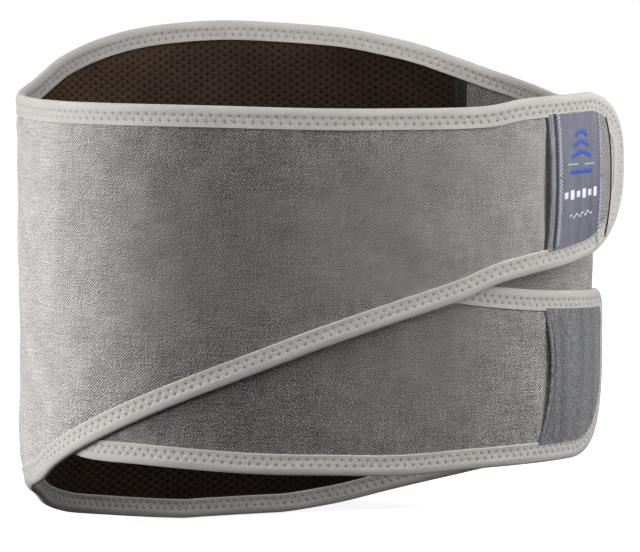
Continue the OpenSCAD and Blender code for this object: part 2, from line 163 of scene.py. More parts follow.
def z_bot(S):
    S = np.asarray(S, float)
    s = S - TURN
    wing = joined(wing_bottom, S) + 30 * rin((WING_SC - S) / 30)
    ring = np.maximum(0, joined(ring_bottom, S))
    up = joined(upper_bottom, s) + 0.18 * np.maximum(0, s - 112) + 33 * rin((s - UP_SC) / 38)
    a, b = ease((S - 198) / 14), ease((s + 182) / 20)
    return (wing * (1 - a) + ring * a) * (1 - b) + up * b


def off(S):
    return -2 * STEP * ease((284 - np.asarray(S, float)) / 72)


def base_o(S, z):
    """Offset of the main strip's outer face; its lower edge turns in where it rounds the left side."""
    S, z = np.asarray(S, float), np.asarray(z, float)
    return off(S) - 4.2 * np.exp(-((S - 590) / 36) ** 2) * np.exp(-np.maximum(z - z_bot(S), 0) / 10.0)


def lo_top(s):
    return joined(lower_top, s) - 20 * rin((np.asarray(s, float) - LO_SC_T) / 20)


def lo_bot(s):
    return joined(lower_bottom, s) + 56 * rin((np.asarray(s, float) - LO_SC_B) / 48)


def lo_off(s):
    return -PANEL - 0.4 + (-STEP + PANEL + 0.4) * ease((np.asarray(s, float) + 190) / 16)


# ------------------------------------------------------------- gentle unevenness
def waves(seed, n, wl_lo, wl_hi, tilt=1.0):
    """Smooth seeded unevenness: a sum of sines with wavelengths in mm."""
    r = np.random.default_rng(seed)
    wl = np.exp(r.uniform(np.log(wl_lo), np.log(wl_hi), n))
    th = r.uniform(-0.5, 0.5, n) * np.pi * tilt
    ph = r.uniform(0, 2 * np.pi, n)
    am = (wl / wl_hi) ** 0.6
    am = am / np.sqrt((am**2).sum() / 2)

    def f(S, z):
        S, z = np.broadcast_arrays(np.asarray(S, float), np.asarray(z, float))
        out = np.zeros(S.shape)
        for k in range(n):
            out += am[k] * np.sin(2 * np.pi / wl[k] * (S * np.cos(th[k]) + z * np.sin(th[k])) + ph[k])
        return out
    return f


broad_out = waves(11, 9, 45, 150, 0.8)
broad_in = waves(12, 9, 30, 110, 0.7)
broad_low = waves(13, 9, 40, 130, 0.8)
pucker = waves(14, 10, 5.5, 11, 0.35)
soft_lining = waves(15, 10, 18, 60, 0.45)


def edge_shape(d, S, z, k=1.0):
    """Swell of padded fabric just inside the binding, with small puckers along it."""
    x = np.maximum(d - TAPE, 0)
    return (-0.22 * np.exp(-(x / 1.8) ** 2) + 0.34 * k * np.exp(-((x - 5.5) / 4.0) ** 2)
            + 0.11 * k * np.exp(-x / 7.0) * pucker(S, z) * (d > TAPE - 2))


def main_d(S, z):
    d = np.minimum(z_top(S) - z, z - z_bot(S))
    return np.minimum(d, np.minimum(S - WING_END, S_END - S))


def lower_d(s, z):
    return np.minimum(np.minimum(lo_top(s) - z, z - lo_bot(s)), LO_END - s)


def still(S, z):
    return 0.0


swell_out = swell_in = swell_low = still       # set by the cloth simulation below


def pressed(x):
    """Under a band that is sewn down the padding can't rise."""
    return 1 - 0.85 * ease(x / 8)


def main_outer(S, z):
    d = main_d(S, z)
    f = ease((d - TAPE) / 25)
    seam = np.exp(-((S - 573.4) / 2.5) ** 2) + np.exp(-((S - 205) / 2.5) ** 2)
    return (base_o(S, z) + edge_shape(d, S, z) + 0.26 * f * broad_out(S, z) - 0.35 * seam
            + swell_out(S, z) * pressed(S - TURN - 78))


def main_inner(S, z):
    d = main_d(S, z)
    f = ease((d - TAPE) / 18)
    wr = np.where((S > 301) & (S < 575), 0.55 * soft_lining(S, z), 0.25 * soft_lining(S, z))
    return (base_o(S, z) - PANEL - edge_shape(d, S + 31, z) - f * (0.25 * broad_in(S, z) + 0.7 * wr) * 0.8
            + swell_in(S, z))


def lower_outer(s, z):
    d = lower_d(s, z)
    return (lo_off(s) + edge_shape(d, s + 57, z) + 0.22 * ease((d - TAPE) / 25) * broad_low(s, z)
            + swell_low(s, z) * pressed(s - 78))


def lower_inner(s, z):
    d = lower_d(s, z)
    return lo_off(s) - PANEL - edge_shape(d, s + 91, z) * 0.6 - 0.12 * ease((d - TAPE) / 18) * broad_in(s, z)


# --------------------------------------------------------------- mesh helpers
def make(name, V, F, mats, fab=None, mat_index=None, smooth=True):
    """Object from mm points and equal-sided faces; fab carries fabric coordinates in mm."""
    V = np.asarray(V, float).reshape(-1, 3)
    if not isinstance(F, list):
        F = [F]
    me = bpy.data.meshes.new(name)
    me.vertices.add(len(V))
    me.vertices.foreach_set("co", (V * 0.001).astype(np.float32).ravel())
    loops = np.concatenate([np.asarray(f, np.int32).ravel() for f in F])
    totals = np.concatenate([np.full(len(f), np.asarray(f).shape[1], np.int32) for f in F])
    starts = np.r_[0, np.cumsum(totals)[:-1]].astype(np.int32)
    me.loops.add(len(loops))
    me.loops.foreach_set("vertex_index", loops)
    me.polygons.add(len(totals))
    me.polygons.foreach_set("loop_start", starts)
    try:
        me.polygons.foreach_set("loop_total", totals)
    except Exception:
        pass
    if not isinstance(mats, (list, tuple)):
        mats = [mats]
    for m in mats:
        me.materials.append(m)
    if mat_index is not None:
        me.polygons.foreach_set("material_index", np.asarray(mat_index, np.int32))
    me.polygons.foreach_set("use_smooth", np.full(len(totals), bool(smooth)))
    if fab is not None:
        at = me.attributes.new("fab", "FLOAT_VECTOR", "POINT")
        at.data.foreach_set("vector", np.asarray(fab, np.float32).reshape(-1, 3).ravel())
    me.update(calc_edges=True)
    me.validate()
    ob = bpy.data.objects.new(name, me)
    bpy.context.scene.collection.objects.link(ob)
    return ob


def grid_faces(nc, nr, flip=False, base=0):
    i, j = np.meshgrid(np.arange(nc - 1), np.arange(nr - 1), indexing="ij")
    a = (i * nr + j).ravel() + base
    q = np.stack([a, a + nr, a + nr + 1, a + 1], -1)
    return q[:, ::-1] if flip else q


def merge(parts):
    """parts: list of (V, F quads, fab, material index) -> one of each."""
    Vs, Fs, fabs, mi, n = [], [], [], [], 0
    for V, F, fb, m in parts:
        V = np.asarray(V, float).reshape(-1, 3)
        Vs.append(V)
        Fs.append(np.asarray(F) + n)
        fabs.append(np.asarray(fb, float).reshape(-1, 3))
        mi.append(np.full(len(F), m))
        n += len(V)
    return np.concatenate(Vs), np.concatenate(Fs), np.concatenate(fabs), np.concatenate(mi)


def tubes(paths, ref, rad, sides=6):
    """Tubes along (m, n, 3) paths; ref (m, n, 3) is a direction across each path."""
    paths = np.asarray(paths, float)
    m, n, _ = paths.shape
    t = np.gradient(paths, axis=1)
    t /= np.linalg.norm(t, axis=2, keepdims=True) + 1e-9
    b = np.cross(t, ref)
    b /= np.linalg.norm(b, axis=2, keepdims=True) + 1e-9
    c = np.cross(b, t)
    an = np.linspace(0, 2 * np.pi, sides, endpoint=False)
    rad = np.broadcast_to(rad, (m, n))[..., None, None]
    ring = paths[:, :, None, :] + rad * (np.cos(an)[None, None, :, None] * b[:, :, None, :]
                                         + np.sin(an)[None, None, :, None] * c[:, :, None, :])
    V = ring.reshape(-1, 3)
    k, i, j = np.meshgrid(np.arange(m), np.arange(n - 1), np.arange(sides), indexing="ij")
    a = (k * n * sides + i * sides + j).ravel()
    b2 = (k * n * sides + i * sides + (j + 1) % sides).ravel()
    F = np.stack([a, b2, b2 + sides, a + sides], -1)
    fb = np.zeros((len(V), 3))
    fb[:, 0] = np.repeat(np.arange(m), n * sides) * 1.7
    fb[:, 1] = np.tile(np.repeat(np.arange(n), sides), m) * 0.5
    return V, F, fb


# ------------------------------------------------- padded fabric: cloth simulation
def sheet_swell(name, S, Z, surf, out, held, push, grow, cap, seed):
    """Cloth simulation of one padded panel on a coarse sheet of it.

    Its border and seams are held, the fabric is cut a little larger than the sheet (grow)
    and a pressure fills it (push). Gives how far each point moved outwards, in mm.
    """
    nc, nr = S.shape
    rng = np.random.default_rng(seed)
    rest = P(S, surf(S, Z), Z) * 0.001
    start = rest + (N(S) * (rng.normal(0, 0.00002, S.shape) * (held < 0.5))[..., None])
    me_ = bpy.data.meshes.new(name)
    q = grid_faces(nc, nr, flip=not out)
    me_.from_pydata(start.reshape(-1, 3).tolist(), [], q.tolist())
    me_.update()
    ob = bpy.data.objects.new(name, me_)
    bpy.context.scene.collection.objects.link(ob)
    vg = ob.vertex_groups.new(name="held")
    hv = held.reshape(-1)
    for wgt in (1.0, 0.6, 0.25):
        idx = np.where(np.abs(hv - wgt) < 1e-6)[0]
        if len(idx):
            vg.add([int(i) for i in idx], wgt, "REPLACE")
    md = ob.modifiers.new("cloth", "CLOTH")
    cs = md.settings
    cs.quality = 5
    cs.mass = 0.02
    cs.tension_stiffness = cs.compression_stiffness = 9.0
    cs.shear_stiffness = 4.0
    cs.bending_stiffness = 0.05
    cs.air_damping = 1.0
    cs.pin_stiffness = 1.0
    cs.vertex_group_mass = "held"
    cs.use_pressure = True
    cs.uniform_pressure_force = push
    cs.shrink_min = -grow
    cs.effector_weights.gravity = 0.0
    md.collision_settings.use_collision = False
    md.collision_settings.use_self_collision = False
    md.point_cache.frame_start, md.point_cache.frame_end = 1, 20
    sc_ = bpy.context.scene
    for f_ in range(1, 21):
        sc_.frame_set(f_)
    ev = ob.evaluated_get(bpy.context.evaluated_depsgraph_get())
    co = np.empty(nc * nr * 3, np.float32)
    ev.data.vertices.foreach_get("co", co)
    sc_.frame_set(1)
    bpy.data.objects.remove(ob, do_unlink=True)
    bpy.data.meshes.remove(me_)
    move = ((co.reshape(nc, nr, 3) - rest) * N(S)).sum(-1) * 1000.0
    move = cap * np.tanh(np.nan_to_num(move) * (held < 0.99) / cap)
    for ax in (0, 1):                        # one fairing pass, the sheet's own step is coarse
        pad = np.concatenate([move.take([0], ax), move, move.take([-1], ax)], ax)
        n_ = move.shape[ax]
        move = 0.25 * pad.take(range(0, n_), ax) + 0.5 * move + 0.25 * pad.take(range(2, n_ + 2), ax)
    return move * (held < 0.99)


def sheet_grid(S0, S1, lo, hi, step=5.0):
    nc = int(round((S1 - S0) / step)) + 1
    nr = 49
    S = np.repeat(np.linspace(S0, S1, nc)[:, None], nr, 1)
    v = np.linspace(0, 1, nr)[None, :]
    Z = lo(S) + 0.8 + (hi(S) - lo(S) - 1.6) * v
    return S, Z


def sheet_lookup(S, Z, M):
    """Bilinear reader of a simulated sheet: (S, z) -> mm."""
    nc, nr = M.shape
    s0, s1 = float(S[0, 0]), float(S[-1, 0])
    zlo, zhi = Z[:, 0], Z[:, -1]

    def f(s, z):
        s, z = np.broadcast_arrays(np.asarray(s, float), np.asarray(z, float))
        x = np.clip((s - s0) / (s1 - s0) * (nc - 1), 0, nc - 1.001)
        i = x.astype(int)
        t = x - i
        a = zlo[i] * (1 - t) + zlo[i + 1] * t
        b = zhi[i] * (1 - t) + zhi[i + 1] * t
        y = np.clip((z - a) / (b - a) * (nr - 1), 0, nr - 1.001)
        j = y.astype(int)
        u_ = y - j
        val = ((M[i, j] * (1 - u_) + M[i, j + 1] * u_) * (1 - t)
               + (M[i + 1, j] * (1 - u_) + M[i + 1, j + 1] * u_) * t)
        return np.where((s < s0) | (s > s1), 0.0, val)
    return f


def sheet_held(d, S, lines=(), near=2.6):
    """How firmly each point is held: the binding and the seams hold fast, then let go."""
    h = np.select([d < 10.5, d < 13.5, d < 17.0], [1.0, 0.6, 0.25], 0.0)
    for s0 in lines:
        h[np.abs(S - s0) < near] = 1.0
    return h


gS, gZ = sheet_grid(WING_END + 1, S_END - 1, z_bot, z_top)
hold = sheet_held(main_d(gS, gZ), gS, (205.0, 573.4))
swell_out = sheet_lookup(gS, gZ, sheet_swell("sheet_outer", gS, gZ, main_outer, True, hold, 2.0, 0.006, 0.75, 5))
gS, gZ = sheet_grid(301.0, 572.0, z_bot, z_top)
hold = sheet_held(main_d(gS, gZ), gS, (301.0, 572.0), 5.2)
swell_in = sheet_lookup(gS, gZ, sheet_swell("sheet_lining", gS, gZ, main_inner, False, hold, 2.0, 0.02, 0.9, 6))
gS, gZ = sheet_grid(-200.0, LO_END - 1, lo_bot, lo_top)
hold = sheet_held(lower_d(gS, gZ), gS)
swell_low = sheet_lookup(gS, gZ, sheet_swell("sheet_lower", gS, gZ, lower_outer, True, hold, 2.0, 0.006, 0.6, 7))


# ------------------------------------------------------------------ materials
def nodes(name):
    m = bpy.data.materials.new(name)
    m.use_nodes = True
    nt = m.node_tree
    for n in list(nt.nodes):
        nt.nodes.remove(n)
    out = nt.nodes.new("ShaderNodeOutputMaterial")
    bsdf = nt.nodes.new("ShaderNodeBsdfPrincipled")
    nt.links.new(bsdf.outputs[0], out.inputs[0])
    return m, nt, bsdf


class G:
    """Small helper to write node graphs."""

    def __init__(self, nt):
        self.nt = nt

    def n(self, kind, **kw):
        x = self.nt.nodes.new(kind)
        for k, v in kw.items():
            setattr(x, k, v)
        return x

    def put(self, node, sock, v):
        if v is None:
            return
        s = node.inputs[sock]
        if hasattr(v, "is_output"):
            self.nt.links.new(v, s)
        else:
            s.default_value = v

    def m(self, op, a, b=None, c=None, clamp=False):
        x = self.n("ShaderNodeMath", operation=op, use_clamp=clamp)
        for i, v in enumerate((a, b, c)):
            self.put(x, i, v)
        return x.outputs[0]

    def fab(self):
        a = self.n("ShaderNodeAttribute", attribute_name="fab")
        s = self.n("ShaderNodeSeparateXYZ")
        self.nt.links.new(a.outputs["Vector"], s.inputs[0])
        return s.outputs[0], s.outputs[1], s.outputs[2]

    def obj(self):
        return self.n("ShaderNodeTexCoord").outputs["Object"]

    def vec(self, x, y, z=0.0):
        c = self.n("ShaderNodeCombineXYZ")
        self.put(c, 0, x), self.put(c, 1, y), self.put(c, 2, z)
        return c.outputs[0]

    def noise(self, v, scale=1.0, detail=2.0, rough=0.5, w=None):
        x = self.n("ShaderNodeTexNoise")
        self.put(x, "Vector", v)
        x.inputs["Scale"].default_value = scale
        x.inputs["Detail"].default_value = detail
        x.inputs["Roughness"].default_value = rough
        return x.outputs[0]

    def voro(self, v, scale=1.0, feature="F1"):
        x = self.n("ShaderNodeTexVoronoi", feature=feature)
        self.put(x, "Vector", v)
        x.inputs["Scale"].default_value = scale
        return x.outputs["Distance"]

    def ramp(self, f, stops):
        r = self.n("ShaderNodeValToRGB")
        self.put(r, 0, f)
        el = r.color_ramp.elements
        while len(el) < len(stops):
            el.new(0.5)
        for e, (p, c) in zip(el, stops):
            e.position = p
            e.color = (*c, 1.0)
        return r.outputs[0]

    def mix(self, f, a, b, mode="MIX"):
        x = self.n("ShaderNodeMix", data_type="RGBA", blend_type=mode)
        self.put(x, 0, f)
        for sock, v in ((6, a), (7, b)):
            if isinstance(v, tuple):
                v = (*v, 1.0) if len(v) == 3 else v
            self.put(x, sock, v)
        return x.outputs[2]

    def bump(self, h, strength, dist, normal=None):
        b = self.n("ShaderNodeBump")
        self.put(b, "Height", h)
        b.inputs["Strength"].default_value = strength
        b.inputs["Distance"].default_value = dist
        if normal is not None:
            self.nt.links.new(normal, b.inputs["Normal"])
        return b.outputs[0]


def setp(g, bsdf, color=None, rough=0.8, sheen=0.0, sheen_rough=0.5, spec=0.3, normal=None,
         metal=0.0, tint=(1, 1, 1), aniso=0.0, coat=0.0):
    def put(name, v):
        if name in bsdf.inputs:
            g.put(bsdf, name, v)
    if isinstance(color, tuple):
        color = (*color, 1.0)
    put("Base Color", color)
    put("Roughness", rough)
    put("Sheen Weight", sheen)
    put("Sheen Roughness", sheen_rough)
    put("Sheen Tint", (*tint, 1.0))
    put("Specular IOR Level", spec)
    put("Metallic", metal)
    put("Anisotropic", aniso)
    put("Coat Weight", coat)
    if normal is not None:
        g.nt.links.new(normal, bsdf.inputs["Normal"])


# strength of the painted sheen: how much lighter the knit's colour is made where its surface is seen at a slant
GRAZE_SHEEN = 3.2


def knit_material(name, dark, mid, light, size=1.0, lean=1.0, sheen=0.25, graze_sheen=GRAZE_SHEEN):
    """Melange elastic knit: fine diagonal stitches crossing both ways, flecked yarns, with a painted sheen that
    lightens the colour where the surface is seen at a slant.
    """
    m, nt, bsdf = nodes(name)
    g = G(nt)
    u, v, w = g.fab()
    patch = g.noise(g.vec(g.m("MULTIPLY", u, 0.22), g.m("MULTIPLY", v, 0.36), w), 1.0, 3.0, 0.75)
    patch = g.m("MULTIPLY_ADD", g.m("SUBTRACT", patch, 0.5), 7.0, 0.5 + 0.20 * lean, clamp=True)
    gain = g.noise(g.vec(g.m("MULTIPLY", u, 0.5), g.m("MULTIPLY", v, 0.6), g.m("ADD", w, 8.0)), 1.0, 3.0, 0.7)
    gain = g.m("MULTIPLY_ADD", gain, 2.2, -0.2)
    wob = g.m("MULTIPLY", g.noise(g.vec(g.m("MULTIPLY", u, 0.5), g.m("MULTIPLY", v, 0.5), 1.0), 1.0, 2.0), 3.2)
    uu = g.m("MULTIPLY_ADD", u, 2 * math.pi / (1.50 * size), wob)
    wob2 = g.m("MULTIPLY", g.noise(g.vec(g.m("MULTIPLY", u, 0.35), g.m("MULTIPLY", v, 0.6), 9.0), 1.0, 2.0), 2.6)
    vv = g.m("MULTIPLY_ADD", v, 2 * math.pi / (1.40 * size), wob2)
    right = g.m("SINE", g.m("SUBTRACT", uu, vv))
    left = g.m("SINE", g.m("ADD", uu, vv))
    twill = g.m("ADD", g.m("MULTIPLY", right, patch), g.m("MULTIPLY", left, g.m("SUBTRACT", 1.0, patch)))
    twill = g.m("MULTIPLY", g.m("MULTIPLY_ADD", g.m("MULTIPLY", right, left), 0.30, twill), gain)
    # yarn flecks: short pieces lying along the slants, and sparse light hairs
    fl1 = g.noise(g.vec(g.m("MULTIPLY", g.m("ADD", u, v), 1.25), g.m("MULTIPLY", g.m("SUBTRACT", u, v), 0.6), w), 1.0, 3.0, 0.75)
    fl2 = g.noise(g.vec(g.m("MULTIPLY", u, 1.35), g.m("MULTIPLY", v, 1.5), 5.0), 1.0, 2.0, 0.7)
    streak = g.noise(g.vec(g.m("MULTIPLY", u, 0.07), g.m("MULTIPLY", v, 0.95), 3.0), 1.0, 2.0, 0.6)
    upright = g.noise(g.vec(g.m("MULTIPLY", u, 0.8), g.m("MULTIPLY", v, 0.05), 6.0), 1.0, 2.0, 0.6)
    cloud = g.noise(g.vec(g.m("MULTIPLY", u, 0.05), g.m("MULTIPLY", v, 0.05), 7.0), 1.0, 3.0, 0.6)
    f = g.m("MULTIPLY_ADD", twill, 0.205, 0.5)
    f = g.m("MULTIPLY_ADD", g.m("SUBTRACT", fl1, 0.5), 0.66, f)
    f = g.m("MULTIPLY_ADD", g.m("SUBTRACT", fl2, 0.5), 1.12, f)
    f = g.m("MULTIPLY_ADD", g.m("SUBTRACT", streak, 0.5), 0.23, f)
    f = g.m("MULTIPLY_ADD", g.m("SUBTRACT", upright, 0.5), 0.15, f)
    f = g.m("MULTIPLY_ADD", g.m("SUBTRACT", cloud, 0.5), 0.16, f)
    col_ = g.ramp(f, [(0.22, dark), (0.50, mid), (0.80, light)])
    h = g.m("ADD", g.m("MULTIPLY", twill, 0.5), g.m("ADD", fl1, fl2))
    nrm = g.bump(h, 0.6, 0.00035)
    # painted sheen: the colour is made lighter where the surface is seen at a slant, standing in for the knit's grazing
    # sheen; partly real too, as there the pale outer fibres hide the dark gaps between stitches
    sheen_facing = g.n("ShaderNodeLayerWeight")
    sheen_facing.inputs["Blend"].default_value = 0.5
    k = g.m("MULTIPLY_ADD", g.m("POWER", sheen_facing.outputs["Facing"], 0.75), graze_sheen, 1.0)
    sc = g.n("ShaderNodeVectorMath", operation="SCALE")
    nt.links.new(col_, sc.inputs[0])
    nt.links.new(k, sc.inputs["Scale"])
    mn = g.n("ShaderNodeVectorMath", operation="MINIMUM")
    nt.links.new(sc.outputs[0], mn.inputs[0])
    mn.inputs[1].default_value = (0.82, 0.80, 0.78)
    setp(g, bsdf, mn.outputs[0], 0.95, sheen, 0.42, 0.06, nrm)
    return m


def tape_material(name, a, b, sheen=0.15, painted_pits_and_lip=True):
    """Folded edge tape: close ribbed weave running across its width, needle holes in two rows; where asked, the holes
    are darkened as painted shade and a painted highlight runs along the inner lip.
    """
    m, nt, bsdf = nodes(name)
    g = G(nt)
    u, v, w = g.fab()
    rib = g.m("SINE", g.m("MULTIPLY", u, 2 * math.pi / 0.62))
    warp = g.m("SINE", g.m("MULTIPLY", v, 2 * math.pi / 0.5))
    fine = g.noise(g.vec(g.m("MULTIPLY", u, 1.6), g.m("MULTIPLY", v, 0.8), w), 1.0, 3.0, 0.6)
    tone = g.noise(g.vec(g.m("MULTIPLY", u, 0.05), g.m("MULTIPLY", v, 0.25), w), 1.0, 2.0, 0.5)
    f = g.m("ADD", g.m("MULTIPLY", fine, 0.7), g.m("MULTIPLY", tone, 0.3))
    f = g.m("ADD", f, g.m("MULTIPLY", g.m("MULTIPLY", rib, warp), 0.05))
    c = g.ramp(f, [(0.3, a), (0.7, b)])
    h = g.m("ADD", g.m("MULTIPLY", g.m("ADD", rib, warp), 0.3), fine)
    if painted_pits_and_lip:
        hole = None
        for row, sh in ((4.7, 0.5), (7.4, 0.0)):
            x = g.m("SUBTRACT", g.m("FRACT", g.m("MULTIPLY_ADD", u, 1 / 4.3, sh)), 0.5)
            x = g.m("MULTIPLY", x, 4.3 / 0.50)
            y = g.m("DIVIDE", g.m("SUBTRACT", v, row), 0.60)
            r2 = g.m("ADD", g.m("MULTIPLY", x, x), g.m("MULTIPLY", y, y))
            e = g.m("POWER", 2.718, g.m("MULTIPLY", r2, -1.0))
            hole = e if hole is None else g.m("ADD", hole, e)
        # painted shade: the colour is darkened inside the needle holes
        hole_shade = g.m("MULTIPLY", hole, 0.78, clamp=True)
        c = g.mix(hole_shade, c, tuple(x * 0.13 for x in a))
        # painted highlight: a lighter line along the lip at the tape's inner border
        lip_highlight = g.m("POWER", 2.718, g.m("MULTIPLY", g.m("POWER", g.m("DIVIDE", g.m("SUBTRACT", v, 9.75), 0.28), 2.0), -1.0))
        c = g.mix(g.m("MULTIPLY", lip_highlight, 0.35), c, tuple(min(1.0, x * 1.25) for x in b))
    setp(g, bsdf, c, 0.85, sheen, 0.45, 0.18, g.bump(h, 0.35, 0.0002))
    return m


def thread_material(name, c):
    m, nt, bsdf = nodes(name)
    g = G(nt)
    u, v, w = g.fab()
    tw = g.m("SINE", g.m("MULTIPLY", g.m("ADD", u, g.m("MULTIPLY", v, 3.0)), 4.0))
    f = g.noise(g.vec(u, v, w), 1.3, 2.0)
    cc = g.mix(f, tuple(x * 0.86 for x in c), c)
    setp(g, bsdf, cc, 0.55, 0.3, 0.3, 0.4, g.bump(tw, 0.4, 0.00008))
    return m


def lining_material(name):
    """Dark laminated spacer lining: smooth skin with a fine tricot grain, its colour darkened towards low S and the hem
    as painted shade.
    """
    m, nt, bsdf = nodes(name)
    g = G(nt)
    u, v, w = g.fab()
    grain = g.noise(g.vec(g.m("MULTIPLY", u, 1.8), g.m("MULTIPLY", v, 0.9), w), 1.0, 3.0, 0.65)
    cloud = g.noise(g.vec(g.m("MULTIPLY", u, 0.03), g.m("MULTIPLY", v, 0.03), 2.0), 1.0, 3.0)
    wale = g.m("SINE", g.m("MULTIPLY", u, 2 * math.pi / 0.82))
    f = g.m("ADD", g.m("MULTIPLY", grain, 0.6), g.m("MULTIPLY", cloud, 0.4))
    c = g.ramp(f, [(0.3, (0.041, 0.0255, 0.0180)), (0.55, (0.070, 0.0450, 0.0325)), (0.75, (0.102, 0.068, 0.050))])
    # painted shade: the colour is scaled down below S = 550 mm (most at S <= 333) and towards the hem (below z = 120
    # mm), where the inside of the ring gets less light
    x = g.m("POWER", g.m("MULTIPLY_ADD", u, 1 / 217.0, -333.0 / 217.0, clamp=True), 1.3)
    y = g.m("MULTIPLY_ADD", v, 1 / 90.0, -30.0 / 90.0, clamp=True)
    k = g.m("MULTIPLY", g.m("MULTIPLY_ADD", x, 0.92, 0.30), g.m("MULTIPLY_ADD", y, 0.42, 0.58))
    sc = g.n("ShaderNodeVectorMath", operation="SCALE")
    nt.links.new(c, sc.inputs[0])
    nt.links.new(k, sc.inputs["Scale"])
    c = sc.outputs[0]
    h = g.m("ADD", g.m("MULTIPLY", wale, 0.35), grain)
    setp(g, bsdf, c, 0.85, 0.06, 0.5, 0.06, g.bump(h, 0.4, 0.0002), tint=(0.9, 0.7, 0.6))
    return m


def label_material(name, a, b, c):
    """Woven satin label: long floats running up the label, soft vertical sheen."""
    m, nt, bsdf = nodes(name)
    g = G(nt)
    u, v, w = g.fab()
    float_ = g.noise(g.vec(g.m("MULTIPLY", u, 2.6), g.m("MULTIPLY", v, 0.16), w), 1.0, 3.0, 0.6)
    band = g.noise(g.vec(g.m("MULTIPLY", u, 0.22), g.m("MULTIPLY", v, 0.01), 4.0), 1.0, 2.0)
    pick = g.m("SINE", g.m("MULTIPLY", v, 2 * math.pi / 0.45))
    f = g.m("ADD", g.m("MULTIPLY", float_, 0.55), g.m("MULTIPLY", band, 0.5))
    col = g.ramp(f, [(0.32, a), (0.52, b), (0.72, c)])
    h = g.m("ADD", g.m("MULTIPLY", pick, 0.25), float_)
    setp(g, bsdf, col, 0.50, 0.12, 0.3, 0.32, g.bump(h, 0.3, 0.00012), aniso=0.4)
    return m


def elastic_material(name, dark, mid, light):
    """Heather elastic webbing: horizontal picks, flecked upright yarns."""
    m, nt, bsdf = nodes(name)
    g = G(nt)
    u, v, w = g.fab()
    pick = g.m("SINE", g.m("MULTIPLY", v, 2 * math.pi / 0.95))
    wale = g.m("SINE", g.m("MULTIPLY", u, 2 * math.pi / 1.1))
    yarn = g.noise(g.vec(g.m("MULTIPLY", u, 1.25), g.m("MULTIPLY", v, 0.30), w), 1.0, 3.0, 0.7)
    fleck = g.noise(g.vec(g.m("MULTIPLY", u, 0.9), g.m("MULTIPLY", v, 1.9), 9.0), 1.0, 3.0, 0.7)
    band = g.noise(g.vec(g.m("MULTIPLY", u, 0.16), g.m("MULTIPLY", v, 0.006), 5.0), 1.0, 2.0)
    f = g.m("ADD", g.m("MULTIPLY", yarn, 0.5), g.m("MULTIPLY", fleck, 0.5))
    f = g.m("ADD", f, g.m("MULTIPLY", band, 0.25))
    f = g.m("ADD", f, g.m("MULTIPLY", pick, 0.05))
    col = g.ramp(g.m("SUBTRACT", f, 0.12), [(0.34, dark), (0.50, mid), (0.68, light)])
    h = g.m("ADD", g.m("ADD", g.m("MULTIPLY", pick, 0.7), g.m("MULTIPLY", wale, 0.25)), fleck)
    setp(g, bsdf, col, 0.88, 0.4, 0.5, 0.2, g.bump(h, 0.6, 0.0004))
    return m


# painted shade: the lower flap, the wing and the strap get darker copies of the outer knit, the lower flap and wing
# lying under the layers above them; the wing and strap also get less of the painted sheen
M_KNIT = knit_material("knit_outer", (0.018, 0.0165, 0.0155), (0.122, 0.1135, 0.1095), (0.415, 0.395, 0.386), 1.0, 1.0, 0.2)
M_KNIT_LOW_SHADED = knit_material("knit_lower_shaded", (0.016, 0.0145, 0.0135), (0.094, 0.0880, 0.0848), (0.355, 0.339, 0.331), 1.0, -1.0, 0.2)
M_KNIT_WING_SHADED = knit_material("knit_wing_shaded", (0.017, 0.0155, 0.0145), (0.110, 0.1022, 0.0986), (0.375, 0.357, 0.348), 1.0, 1.0, 0.2, 1.8)
M_KNIT_STRAP_SHADED = knit_material("knit_strap_shaded", (0.018, 0.0165, 0.0155), (0.116, 0.108, 0.104), (0.395, 0.375, 0.366), 1.0, 0.2, 0.2, 1.3)
M_KNIT_IN = knit_material("knit_inner", (0.024, 0.022, 0.0205), (0.098, 0.092, 0.087), (0.29, 0.276, 0.264), 1.1, 0.2, 0.1)
M_TAPE = tape_material("edge_tape", (0.425, 0.400, 0.381), (0.545, 0.517, 0.494))
M_THREAD = thread_material("edge_thread", (0.66, 0.62, 0.58))
M_LINING = lining_material("lining_dark")
M_BEHIND = thread_material("lining_behind", (0.012, 0.010, 0.009))
M_DARKTAPE = tape_material("lining_tape", (0.012, 0.009, 0.008), (0.028, 0.021, 0.018), 0.05, False)
M_DARKTHREAD = thread_material("dark_thread", (0.05, 0.045, 0.045))
M_LABEL = label_material("label_satin", (0.092, 0.092, 0.122), (0.145, 0.146, 0.188), (0.215, 0.217, 0.268))
M_LABEL_THREAD = thread_material("label_thread", (0.60, 0.62, 0.70))
# painted shadow: near-black colour for the shadowed gaps at the strap's open edges
M_GAP_SHADOW = thread_material("strap_gap_shadow", (0.012, 0.012, 0.014))
M_BLUE = label_material("motif_blue", (0.020, 0.055, 0.28), (0.030, 0.085, 0.42), (0.05, 0.13, 0.55))
M_CYAN = label_material("motif_cyan", (0.16, 0.38, 0.46), (0.24, 0.50, 0.58), (0.34, 0.60, 0.66))
M_WHITE = label_material("motif_white", (0.58, 0.60, 0.66), (0.72, 0.74, 0.80), (0.84, 0.86, 0.90))
M_NAVY = thread_material("navy_edge", (0.035, 0.05, 0.13))
M_POCKET = elastic_material("pocket_elastic", (0.034, 0.036, 0.046), (0.132, 0.135, 0.153), (0.40, 0.40, 0.415))
M_HOOKBASE = tape_material("hook_base", (0.022, 0.024, 0.030), (0.05, 0.053, 0.062), 0.1, False)
M_HOOK = thread_material("hook_thread", (0.06, 0.063, 0.072))


# --------------------------------------------------------------------- blends
def pt_m(S, z, o=-1.4):
    return tuple(float(x) for x in (P(S, o, z) * 0.001))


